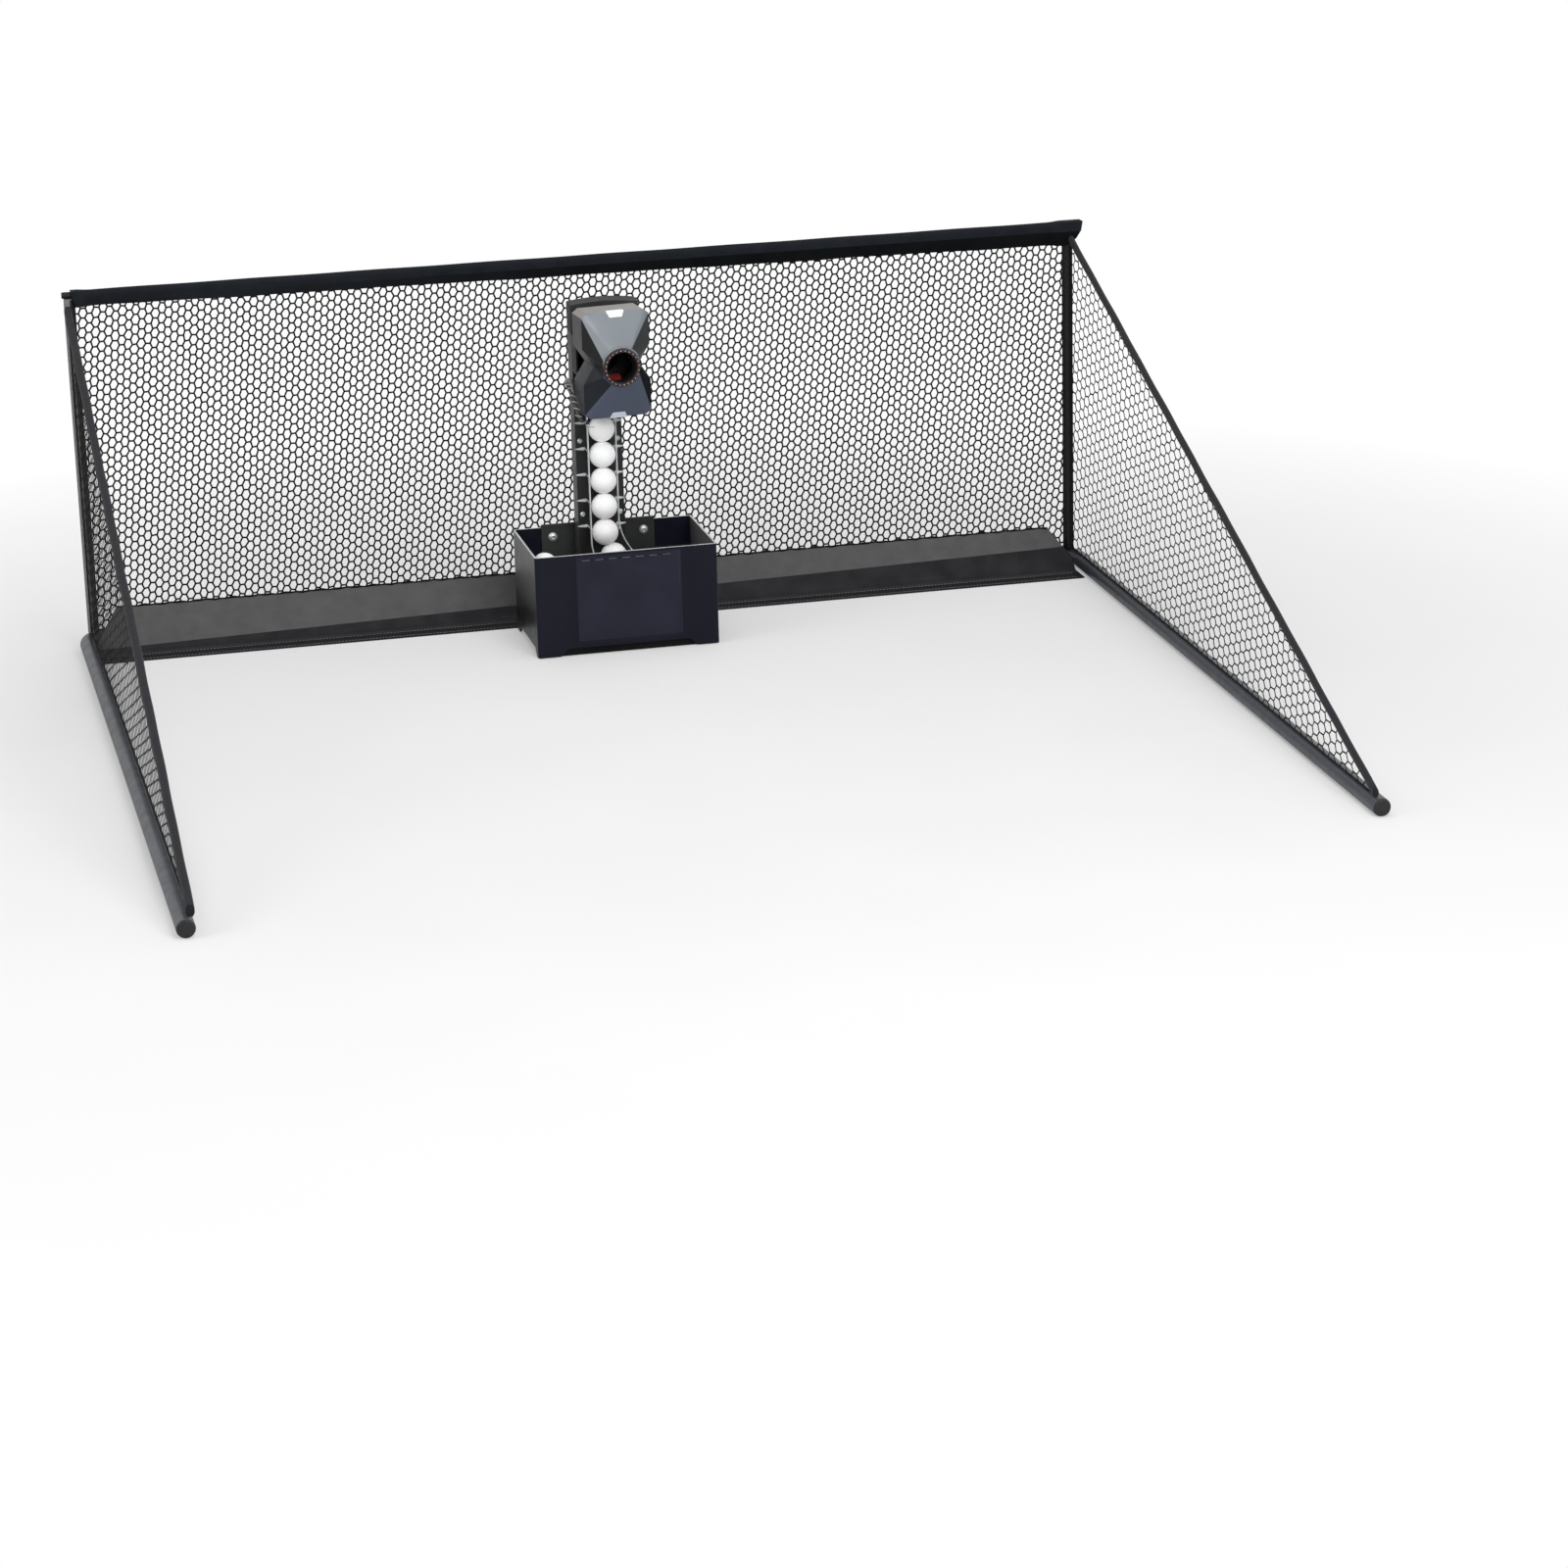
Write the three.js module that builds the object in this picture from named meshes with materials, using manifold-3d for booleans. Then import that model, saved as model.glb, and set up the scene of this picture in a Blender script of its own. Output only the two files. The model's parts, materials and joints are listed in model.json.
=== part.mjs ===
// Table tennis robot: a ball hopper with a feed wheel, a tower with a clear ball guide, a throwing head
// that yaws and pitches, and a catch net with its frame and ball tray. Millimetres, +Z up. The head faces
// -Y. The origin is in the middle of the footprint, on the surface that the machine stands on.
// Places along Y are given from the plane of the two net posts, and the whole model is shifted once.

import * as THREE from 'three';
import { mergeVertices } from 'three/addons/utils/BufferGeometryUtils.js';
import Module from 'manifold-3d';

const wasm = await Module();
wasm.setup();

// Fits
const SEAT_GAP = 0.3;
const CUT_OVERRUN = 4;
const WELD_DISTANCE = 0.0001;

// Balls
const BALL_RADIUS = 20;
const BALL_SPACING = 40.06;
const GUIDE_BALL_COUNT = 5;
const LOWEST_GUIDE_BALL_Z = 157.2;
const STRAY_BALL_FROM_SIDE = 1;
const STRAY_BALL_FROM_FRONT = 47.5;

// Hopper
const HOPPER_WIDTH = 278;
const HOPPER_DEPTH = 181;
const HOPPER_RIM_Z = 156;
const HOPPER_LIFT = 1;
const HOPPER_WALL = 3;
const HOPPER_CORNER = 5;
const HOPPER_TO_POSTS = 97;
const FOOT_GAP_HEIGHT = 11;
const FOOT_GAP_WIDTH = 209;
const FOOT_GAP_SLANT = 11.5;
const SIDE_GAP_FRONT = 14;
const SIDE_GAP_REAR = 24;
const PANEL_WIDTH = 160;
const PANEL_BOTTOM_Z = 20;
const PANEL_TOP_Z = 151;
const PANEL_RECESS = 0.5;
const DASH_COUNT = 6;
const DASH_PITCH = 21;
const DASH_LENGTH = 10;
const DASH_HEIGHT = 1.4;
const DASH_DEPTH = 1.2;
const DASH_Z = 146;

// Base plate and feet
const BASE_BOTTOM_Z = 12;
const BASE_THICKNESS = 3;
const FOOT_RADIUS = 9;
const FOOT_FROM_EDGE = 20;
const FOOT_BEVEL = 1.5;

// Sloped floor of the hopper
const FUNNEL_EDGE_Z = 112;
const FUNNEL_WELL_Z = 97;
const FUNNEL_THICKNESS = 2.5;
const FUNNEL_RIM = 1.5;
const FUNNEL_GAP = 0.7;

// Tower
const TOWER_X = -8;
const TOWER_WIDTH = 72;
const TOWER_FRONT_FROM_POSTS = 136;
const TOWER_WALL = 2.5;
const TOWER_TOP_Z = 461.7;
const TOP_HOUSING_Z = 462;
const TOP_HOUSING_HEIGHT = 42;
const TOP_HOUSING_ARCH = 4;
const TOP_HOUSING_OVERHANG = 32;

// Rear bracket and its bolts
const BRACKET_WIDTH = 176;
const BRACKET_THICKNESS = 2.5;
const BRACKET_BOTTOM_Z = 100;
const BRACKET_TOP_Z = 161;
const BOLT_FROM_END = 17.5;
const BOLT_Z = 141;
const BOLT_HEAD_RADIUS = 6;
const BOLT_HEAD_HEIGHT = 4;
const BOLT_SHANK_RADIUS = 2.5;

// Ball guide
const GUIDE_FROM_POSTS = 160.5;
const GUIDE_CLEARANCE = 0.8;
const GUIDE_WALL = 1.5;
const GUIDE_TOP_Z = 392;
const GUIDE_BOTTOM_Z = 96.3;
const GUIDE_BEND_Z = 140;
const GUIDE_STRIP_DEPTH = 18;
const GUIDE_FLARE = 30;
const GUIDE_FLARE_TOP_Z = 178;
const GUIDE_FLARE_BOTTOM_Z = 112;
const HOOP_HEIGHT = 4;
const HOOP_EAR_REACH = 34;
const HOOP_ABOVE_BALL = 5.5;

// Feed wheel and its housing
const FEED_POCKETS = 4;
const FEED_RADIUS = 34;
const FEED_SHIFT = 12;
const FEED_WHEEL_THICKNESS = 16;
const FEED_HOUSING_WALL = 2.3;
const FEED_HOUSING_TOP_Z = 96;
const FEED_SHAFT_RADIUS = 4;
const FEED_SHAFT_SEAT = 8;
const FEED_BOSS_RADIUS = 11;
const FEED_POCKET_CLEARANCE = 0.8;
const FEED_TIP_TO_BALL = 0.2;
const FEED_FOOT_WIDTH = 44;

// Feed gearmotor
const GEARBOX_WIDTH = 48;
const GEARBOX_HEIGHT = 33;
const GEARBOX_DEPTH = 29;
const GEARBOX_BEVEL = 3;
const FEED_MOTOR_RADIUS = 13;
const FEED_MOTOR_LENGTH = 34;

// Power inlet and switch in the hopper's rear wall
const POWER_Z = 60;
const INLET_X = -95;
const INLET_RADIUS = 5.5;
const INLET_FLANGE_RADIUS = 8;
const INLET_FLANGE = 1.5;
const INLET_LENGTH = 15;
const INLET_BORE_RADIUS = 3;
const SWITCH_X = -120;
const SWITCH_WIDTH = 12;
const SWITCH_HEIGHT = 18;
const SWITCH_CREST = 1.6;

// Control board and yaw servo inside the tower
const BOARD_BOTTOM_Z = 200;
const BOARD_HEIGHT = 110;
const BOARD_THICKNESS = 1.6;
const BOARD_MARGIN = 5;
const BOARD_CHIPS = 4;
const BOARD_CHIP = 14;
const BOARD_CHIP_HEIGHT = 3;
const SERVO_WIDTH = 40;
const SERVO_DEPTH = 21;
const SERVO_HEIGHT = 40;
const SERVO_SHAFT_FROM_SIDE = 15;
const SERVO_SHAFT_RADIUS = 3;
const SERVO_WING = 7;
const SERVO_WING_HEIGHT = 3;
const SERVO_WING_DROP = 10;
const SERVO_GEAR_GAP = 2;

// Yaw gear pair
const GEAR_TEETH = 36;
const PINION_TEETH = 12;
const GEAR_MODULE = 1.6;
const GEAR_BACKLASH = 0.35;
const GEAR_CENTRE_PLAY = 0.2;
const GEAR_THICKNESS = 6;
const GEAR_TOP_DROP = 33;
const SLOT_CLEARANCE = 1.5;
const FLANK_STEPS = 2;
const PRESSURE_ANGLE = THREE.MathUtils.degToRad(25);
const ADDENDUM_SHARE = 0.9;
const DEDENDUM_SHARE = 1.15;

// Bearing block and elbow
const HEAD_Z = 434;
const HEAD_YAW = THREE.MathUtils.degToRad(6);
const BLOCK_WIDTH = 72;
const BLOCK_FRONT_REACH = 24.5;
const BLOCK_BOTTOM_DROP = 31;
const BLOCK_FLOOR_DROP = 25;
const BLOCK_TOP_RISE = 26;
const BLOCK_ROOF = 2.5;
const BLOCK_WALL = 3;
const BLOCK_REAR_WALL = 1.7;
const BLOCK_CORNER = 8;
const BLOCK_SIDE_REACH = 8;
const ELBOW_RADIUS = 22.2;
const ELBOW_WALL = 1.4;
const ELBOW_BEND = 26;
const ELBOW_BOTTOM_DROP = 39.4;
const ELBOW_REACH = 34.5;
const PITCH_REACH = 29.5;
const TRUNNION_RADIUS = 4;
const TRUNNION_REACH = 28.4;

// Head cowls
const COWL_HALF_WIDTH = 52;
const COWL_HALF_HEIGHT = 79.5;
const COWL_SHOULDER_Z = 73;
const COWL_CHAMFER = 9;
const COWL_WAIST_TOP_Z = 26.5;
const COWL_WAIST = 35;
const COWL_WALL = 2.5;
const COWL_REAR_REACH = 42.5;
const COWL_SHOULDER_REACH = 89.5;
const COWL_FRONT_REACH = 113.5;
const FRONT_TOP_HALF = 14.5;
const FRONT_TOP_Z = 27;
const FRONT_BEVEL = 2;
const FRONT_SIDE_X = 28;
const FRONT_SIDE_Z = 13;

// Chassis, barrel and ring of the head
const CHASSIS_THICKNESS = 2.5;
const EAR_THICKNESS = 3.5;
const EAR_INNER_X = 24.5;
const EAR_HALF_HEIGHT = 7;
const CRADLE_HALF_HEIGHT = 10;
const CRADLE_INSET = 4;
const CRADLE_DEPTH = 2;
const BARREL_BORE = 22.5;
const BARREL_RADIUS = 25;
const BARREL_REAR_REACH = 95;
const RING_BORE = 23;
const RING_RADIUS = 28;
const RING_THICKNESS = 5.7;
const RING_BEVEL = 1.2;

// Throwing wheels and their motors
const WHEEL_REACH = 69.5;
const WHEEL_RISE = 42.5;
const TYRE_RADIUS = 24;
const TYRE_HALF_WIDTH = 9;
const TYRE_HOLLOW = 1;
const TYRE_BORE = 14.3;
const HUB_RADIUS = 14;
const HUB_HALF_WIDTH = 8;
const HUB_WEB = 3;
const HUB_RIM = 3;
const HUB_CORE = 6;
const HUB_SHAFT_RADIUS = 2.5;
const HUB_SHAFT_END = 15;
const MOTOR_RADIUS = 15;
const MOTOR_NEAR_X = 11;
const MOTOR_LENGTH = 34;
const MOTOR_BORE_DEPTH = 6;
const MOTOR_BEVEL = 1.5;

// Cable loom
const LOOM_RADIUS = 4;
const LOOM_STEPS = 14;
const LOOM_SIDES = 8;
const LOOM_ROUTE = [[-48.3, -118, 384], [-52, -150, 389], [-49, -182, 391], [-43, -196, 376],
  [-36.5, -202, 352]];

// Net frame
const BAR_HALF_SPAN = 785;
const BAR_RADIUS = 12.5;
const BAR_FRONT_FROM_POSTS = 1365;
const RAIL_BEHIND_POSTS = 20;
const CORNER_RADIUS = 45;
const CORNER_STUB = 12;
const POST_FROM_BAR = 11;
const POST_RADIUS = 8.5;
const TOP_BAR_Z = 545;
const TOP_BAR_RADIUS = 5;
const SLEEVE_DROP = 25;
const SLEEVE_WALL = 1.6;
const SLEEVE_SLANT = 14;

// Nets
const NET_THICKNESS = 1.6;
const NET_BOTTOM_Z = 30;
const NET_FROM_BAR = 7;
const NET_COLUMN_PITCH = 70;
const NET_ROW_PITCH = 105;
const NET_STRAND_WIDTH = 10;
const NET_TIP_CUT = 60;
const HEX_SIDE_SHARE = 1.5;
const NET_BORDER = 10;
const HEM_WIDTH_LEFT = 16;
const HEM_WIDTH_RIGHT = 7;
const HEM_THICKNESS = 2.4;
const HEM_TOP_DROP = 15;
const HEM_FROM_BAR_FRONT = 10;

// Ball tray
const LIP_WIDTH = 30;
const LIP_THICKNESS = 2.5;
const LIP_FROM_BAR = 40;
const TRAY_FROM_BAR = 53;
const TRAY_SLANT = 9;
const TRAY_THICKNESS = 2;
const TRAY_FLOOR = 22;
const TRAY_REAR_Z = 60;
const TRAY_REAR_FROM_NET = 1.1;

// Counts that set how smooth a round is
const SMALL_SIDES = 12;
const ROUND_SIDES = 28;
const ARC_STEPS = 5;
const BALL_DIVISION_COUNT = 2;

// Places worked out from the sizes above, along Y from the posts
const hopperRear = -HOPPER_TO_POSTS;
const hopperFront = hopperRear - HOPPER_DEPTH;
const innerRear = hopperRear - HOPPER_WALL;
const innerFront = hopperFront + HOPPER_WALL;
const innerHalf = HOPPER_WIDTH / 2 - HOPPER_WALL;
const strayX = BALL_RADIUS + STRAY_BALL_FROM_SIDE - innerHalf;
const baseTop = BASE_BOTTOM_Z + BASE_THICKNESS;
const bracketRear = innerRear - SEAT_GAP;
const bracketFront = bracketRear - BRACKET_THICKNESS;
const boltSpread = BRACKET_WIDTH / 2 - BOLT_FROM_END;
const towerRear = bracketFront - SEAT_GAP;
const towerFront = -TOWER_FRONT_FROM_POSTS;
const towerHalf = TOWER_WIDTH / 2;
const guideY = -GUIDE_FROM_POSTS;
const guideBore = BALL_RADIUS + GUIDE_CLEARANCE;
const guideOuter = guideBore + GUIDE_WALL;
const feedX = TOWER_X + FEED_SHIFT + FEED_RADIUS;
const feedInner = FEED_RADIUS + BALL_RADIUS + GUIDE_CLEARANCE;
const feedOuter = feedInner + FEED_HOUSING_WALL;
const feedRear = towerFront - SEAT_GAP;
const bendBallZ = LOWEST_GUIDE_BALL_Z - Math.sqrt(BALL_SPACING ** 2 - FEED_SHIFT ** 2);
const tipToBall = FEED_RADIUS + BALL_RADIUS + FEED_TIP_TO_BALL;
const feedZ = bendBallZ - Math.sqrt(tipToBall ** 2 - FEED_RADIUS ** 2);
const feedFront = guideY - guideBore - FEED_HOUSING_WALL;
const guideToTower = GUIDE_FROM_POSTS - TOWER_FRONT_FROM_POSTS;
const gearTop = HEAD_Z - GEAR_TOP_DROP;
const gearBottom = gearTop - GEAR_THICKNESS;
const gearTip = GEAR_TEETH * GEAR_MODULE / 2 + ADDENDUM_SHARE * GEAR_MODULE;
const pinionY = guideY + (GEAR_TEETH + PINION_TEETH) * GEAR_MODULE / 2 + GEAR_CENTRE_PLAY;
const postX = BAR_HALF_SPAN - POST_FROM_BAR;
const netX = BAR_HALF_SPAN - NET_FROM_BAR;
const sleeveBottom = TOP_BAR_Z - SLEEVE_DROP;
const hemTop = TOP_BAR_Z - HEM_TOP_DROP;
const lipHalf = BAR_HALF_SPAN - LIP_FROM_BAR;
const trayHalf = BAR_HALF_SPAN - TRAY_FROM_BAR;
const frameShift = (BAR_FRONT_FROM_POSTS - RAIL_BEHIND_POSTS - BAR_RADIUS) / 2;

/** Turns any closed three.js geometry into a solid, with shared corners and faces that point out. */
function solid(geometry) {
  const bare = geometry.clone();
  bare.deleteAttribute('normal');
  bare.deleteAttribute('uv');
  const welded = mergeVertices(bare, WELD_DISTANCE);
  const place = welded.getAttribute('position');
  const corners = welded.getIndex().array;
  const kept = [];
  let volume = 0;
  const [a, b, c] = [new THREE.Vector3(), new THREE.Vector3(), new THREE.Vector3()];
  for (let i = 0; i < corners.length; i += 3) {
    const [p, q, r] = [corners[i], corners[i + 1], corners[i + 2]];
    if (p !== q && q !== r && r !== p) {
      kept.push(p, q, r);
      volume += a.fromBufferAttribute(place, p)
        .dot(b.fromBufferAttribute(place, q).cross(c.fromBufferAttribute(place, r)));
    }
  }
  if (volume < 0) kept.reverse();
  return new wasm.Manifold(new wasm.Mesh({
    numProp: 3,
    vertProperties: new Float32Array(place.array),
    triVerts: new Uint32Array(kept),
  }));
}

/** Gives the three.js geometry of a solid. */
function geometryOf(body) {
  const mesh = body.getMesh();
  const geometry = new THREE.BufferGeometry();
  geometry.setAttribute('position', new THREE.BufferAttribute(mesh.vertProperties, mesh.numProp));
  geometry.setIndex(new THREE.BufferAttribute(mesh.triVerts, 1));
  geometry.computeVertexNormals();
  return geometry;
}

/** Turns a geometry drawn along +Z so that it runs along the named axis, with u and v across it. */
function alongAxis(geometry, axis) {
  const [x, y, z] = [new THREE.Vector3(1, 0, 0), new THREE.Vector3(0, 1, 0), new THREE.Vector3(0, 0, 1)];
  const turn = new THREE.Matrix4();
  if (axis === 'x') turn.makeBasis(y, z, x);
  if (axis === 'y') turn.makeBasis(x, z, y.negate());
  return geometry.applyMatrix4(turn);
}

/** Extrudes an outline from one place to another along an axis. The outline is drawn in the other two. */
function prism(outline, start, end, axis, holes = []) {
  const shape = new THREE.Shape(outline);
  for (const hole of holes) shape.holes.push(new THREE.Path(hole));
  const geometry = new THREE.ExtrudeGeometry(shape, { depth: end - start, bevelEnabled: false });
  geometry.translate(0, 0, axis === 'y' ? -end : start);
  return solid(alongAxis(geometry, axis));
}

/** The points of a rectangle between two corners. */
function rectangle(u0, v0, u1, v1) {
  return [[u0, v0], [u1, v0], [u1, v1], [u0, v1]].map(([u, v]) => new THREE.Vector2(u, v));
}

/** A box between two corners. */
function box(x0, x1, y0, y1, z0, z1) {
  return prism(rectangle(x0, y0, x1, y1), z0, z1, 'z');
}

/** Points of an arc around a centre, both ends included. */
function arc(u, v, radius, from, to, steps) {
  return Array.from({ length: steps + 1 }, (_, i) => {
    const angle = from + (to - from) * i / steps;
    return new THREE.Vector2(u + radius * Math.cos(angle), v + radius * Math.sin(angle));
  });
}

/** Points of a full circle. */
function circle(u, v, radius, sides = ROUND_SIDES) {
  return arc(u, v, radius, 0, 2 * Math.PI, sides).slice(0, -1);
}

/** Points of a rectangle with round corners. */
function roundRectangle(u0, v0, u1, v1, radius, steps = ARC_STEPS) {
  const quarter = Math.PI / 2;
  const corners = [[u1 - radius, v0 + radius], [u1 - radius, v1 - radius],
    [u0 + radius, v1 - radius], [u0 + radius, v0 + radius]];
  return corners.flatMap(([u, v], i) => arc(u, v, radius, (i - 1) * quarter, i * quarter, steps));
}

/** A round rod along an axis, centred on (u, v) of the other two axes. */
function rod(radius, start, end, axis, u, v, sides = ROUND_SIDES) {
  return prism(circle(u, v, radius, sides), start, end, axis);
}

/** Revolves a closed profile of [radius, place along the axis] pairs about an axis. */
function turned(profile, axis, sides = ROUND_SIDES) {
  const points = profile.map(([radius, along]) => new THREE.Vector2(radius, along));
  const geometry = new THREE.LatheGeometry([...points, points[0]], sides);
  if (axis === 'x') geometry.rotateZ(-Math.PI / 2);
  if (axis === 'z') geometry.rotateX(Math.PI / 2);
  return solid(geometry);
}

/** Skins a row of outlines with equal counts of points, each at its own place along the axis. */
function loft(sections, axis) {
  const count = sections[0].outline.length;
  const sense = axis === 'y' ? -1 : 1;
  const positions = sections
    .flatMap(({ outline, place }) => outline.flatMap((p) => [p.x, p.y, sense * place]));
  const index = [];
  for (let i = 0; i + 1 < sections.length; i += 1) {
    for (let j = 0; j < count; j += 1) {
      const [low, next] = [i * count + j, i * count + (j + 1) % count];
      index.push(low, next, next + count, low, next + count, low + count);
    }
  }
  const last = (sections.length - 1) * count;
  for (const [p, q, r] of THREE.ShapeUtils.triangulateShape(sections[0].outline, [])) index.push(r, q, p);
  for (const [p, q, r] of THREE.ShapeUtils.triangulateShape(sections.at(-1).outline, [])) {
    index.push(last + p, last + q, last + r);
  }
  const geometry = new THREE.BufferGeometry();
  geometry.setAttribute('position', new THREE.Float32BufferAttribute(positions, 3));
  geometry.setIndex(index);
  return solid(alongAxis(geometry, axis));
}

/** Moves the sides of an outline inward by a distance. The outline runs counter-clockwise. */
function inset(outline, distance) {
  return outline.map((point, i) => {
    const before = point.clone().sub(outline.at(i - 1)).normalize();
    const after = outline[(i + 1) % outline.length].clone().sub(point).normalize();
    const inward = new THREE.Vector2(-before.y - after.y, before.x + after.x).normalize();
    const share = inward.dot(new THREE.Vector2(-before.y, before.x));
    return point.clone().addScaledVector(inward, distance / share);
  });
}

/** A path through chosen stations, so that a straight stretch needs no steps of its own. */
class StationPath extends THREE.Curve {
  constructor(stations) {
    super();
    this.stations = stations;
  }

  getPointAt(share) {
    return this.stations[Math.round(share * (this.stations.length - 1))].clone();
  }

  getTangentAt(share) {
    const last = this.stations.length - 1;
    const i = Math.round(share * last);
    const arriving = this.stations[i].clone().sub(this.stations[Math.max(i - 1, 0)]).normalize();
    const leaving = this.stations[Math.min(i + 1, last)].clone().sub(this.stations[i]).normalize();
    return arriving.add(leaving).normalize();
  }
}

/** Sweeps a round section, hollow if a bore is given, along stations. */
function sweep(stations, radius, bore = 0, sides = ROUND_SIDES) {
  const shape = new THREE.Shape(circle(0, 0, radius, sides));
  if (bore) shape.holes.push(new THREE.Path(circle(0, 0, bore, sides)));
  const extrudePath = new StationPath(stations);
  return solid(new THREE.ExtrudeGeometry(shape, { steps: stations.length - 1, extrudePath }));
}

/** A material with the look of one finish. */
function paint(color, roughness, metalness = 0) {
  return new THREE.MeshStandardMaterial({ color, roughness, metalness });
}

const finishes = {
  shell: () => paint(0x23252f, 0.45),
  steel: () => paint(0x2c2c2e, 0.5, 0.6),
  blackPlastic: () => paint(0x1a1b1e, 0.55),
  clear: () => paint(0xdfe7ea, 0.15),
  chrome: () => paint(0xc8cacc, 0.2, 1),
  rubber: () => paint(0x151515, 0.9),
  ball: () => paint(0xf2f2ee, 0.5),
  motor: () => paint(0x9a9da0, 0.35, 0.9),
  gear: () => paint(0xd9d6cc, 0.5),
  upperCowl: () => paint(0x87929a, 0.4, 0.3),
  lowerCowl: () => paint(0x4a5062, 0.4, 0.3),
  ring: () => paint(0x33211f, 0.5),
  tyre: () => paint(0x9c1f1f, 0.8),
  board: () => paint(0x1f5a35, 0.5),
  frame: () => paint(0x59616b, 0.4, 0.4),
  net: () => paint(0x141416, 0.9),
  tray: () => paint(0x565656, 0.8),
};

/** Adds one named piece to a group, moved to its place there. */
function addPiece(group, name, body, material, place = [0, 0, 0]) {
  const mesh = new THREE.Mesh(geometryOf(body), material);
  mesh.name = name;
  mesh.position.set(...place);
  group.add(mesh);
}

/** A row of numbers from zero up. */
function upTo(count) {
  return Array.from({ length: count }, (_, i) => i);
}

/** The hopper: an open wall on four corners, its base, feet and sloped floor. */
function buildHopper(group) {
  const half = HOPPER_WIDTH / 2;
  const outer = roundRectangle(-half, hopperFront, half, hopperRear, HOPPER_CORNER);
  const inner = roundRectangle(-innerHalf, innerFront, innerHalf, innerRear, HOPPER_CORNER - HOPPER_WALL);
  const gapTop = HOPPER_LIFT + FOOT_GAP_HEIGHT;
  const footGap = (from, to) => [[from, HOPPER_LIFT - CUT_OVERRUN], [to, HOPPER_LIFT - CUT_OVERRUN],
    [to, HOPPER_LIFT], [to - FOOT_GAP_SLANT, gapTop], [from + FOOT_GAP_SLANT, gapTop], [from, HOPPER_LIFT],
  ].map(([u, v]) => new THREE.Vector2(u, v));
  const inletHole = rod(INLET_RADIUS + SEAT_GAP, innerRear - CUT_OVERRUN, hopperRear + CUT_OVERRUN, 'y',
    INLET_X, POWER_Z);
  const switchHole = box(SWITCH_X - SWITCH_WIDTH / 2, SWITCH_X + SWITCH_WIDTH / 2, innerRear - CUT_OVERRUN,
    hopperRear + CUT_OVERRUN, POWER_Z - SWITCH_HEIGHT / 2, POWER_Z + SWITCH_HEIGHT / 2);
  let shell = prism(outer, HOPPER_LIFT, HOPPER_RIM_Z, 'z', [inner])
    .subtract(prism(footGap(-FOOT_GAP_WIDTH / 2, FOOT_GAP_WIDTH / 2), hopperFront - CUT_OVERRUN,
      hopperRear + CUT_OVERRUN, 'y'))
    .subtract(prism(footGap(hopperFront + SIDE_GAP_FRONT, hopperRear - SIDE_GAP_REAR), -half - CUT_OVERRUN,
      half + CUT_OVERRUN, 'x'))
    .subtract(box(-PANEL_WIDTH / 2, PANEL_WIDTH / 2, hopperFront - CUT_OVERRUN, hopperFront + PANEL_RECESS,
      PANEL_BOTTOM_Z, PANEL_TOP_Z))
    .subtract(inletHole)
    .subtract(switchHole);
  for (const i of upTo(DASH_COUNT)) {
    const middle = (i - (DASH_COUNT - 1) / 2) * DASH_PITCH;
    shell = shell.subtract(box(middle - DASH_LENGTH / 2, middle + DASH_LENGTH / 2, hopperFront - CUT_OVERRUN,
      hopperFront + DASH_DEPTH, DASH_Z - DASH_HEIGHT / 2, DASH_Z + DASH_HEIGHT / 2));
  }
  for (const side of [-1, 1]) shell = shell.subtract(boltHole(side));
  addPiece(group, 'hopper_shell', shell, finishes.shell());

  const plate = roundRectangle(-innerHalf + SEAT_GAP, innerFront + SEAT_GAP, innerHalf - SEAT_GAP,
    innerRear - SEAT_GAP, HOPPER_CORNER - HOPPER_WALL);
  addPiece(group, 'base_plate', prism(plate, BASE_BOTTOM_Z, baseTop, 'z'), finishes.blackPlastic());
  const footTop = BASE_BOTTOM_Z - SEAT_GAP;
  const foot = turned([[0, 0], [FOOT_RADIUS - FOOT_BEVEL, 0], [FOOT_RADIUS, FOOT_BEVEL],
    [FOOT_RADIUS, footTop], [0, footTop]], 'z', SMALL_SIDES * 2);
  const footX = half - FOOT_FROM_EDGE;
  const footPlaces = [[-footX, hopperFront + FOOT_FROM_EDGE], [footX, hopperFront + FOOT_FROM_EDGE],
    [-footX, hopperRear - FOOT_FROM_EDGE], [footX, hopperRear - FOOT_FROM_EDGE]];
  footPlaces.forEach(([x, y], i) => {
    addPiece(group, `rubber_foot_${i + 1}`, foot, finishes.rubber(), [x, y, 0]);
  });
}

/** The hole of one dome bolt through the bracket and the rear wall. */
function boltHole(side) {
  return rod(BOLT_SHANK_RADIUS + SEAT_GAP, bracketFront - CUT_OVERRUN, hopperRear + CUT_OVERRUN, 'y',
    TOWER_X + side * boltSpread, BOLT_Z, SMALL_SIDES);
}

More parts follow.
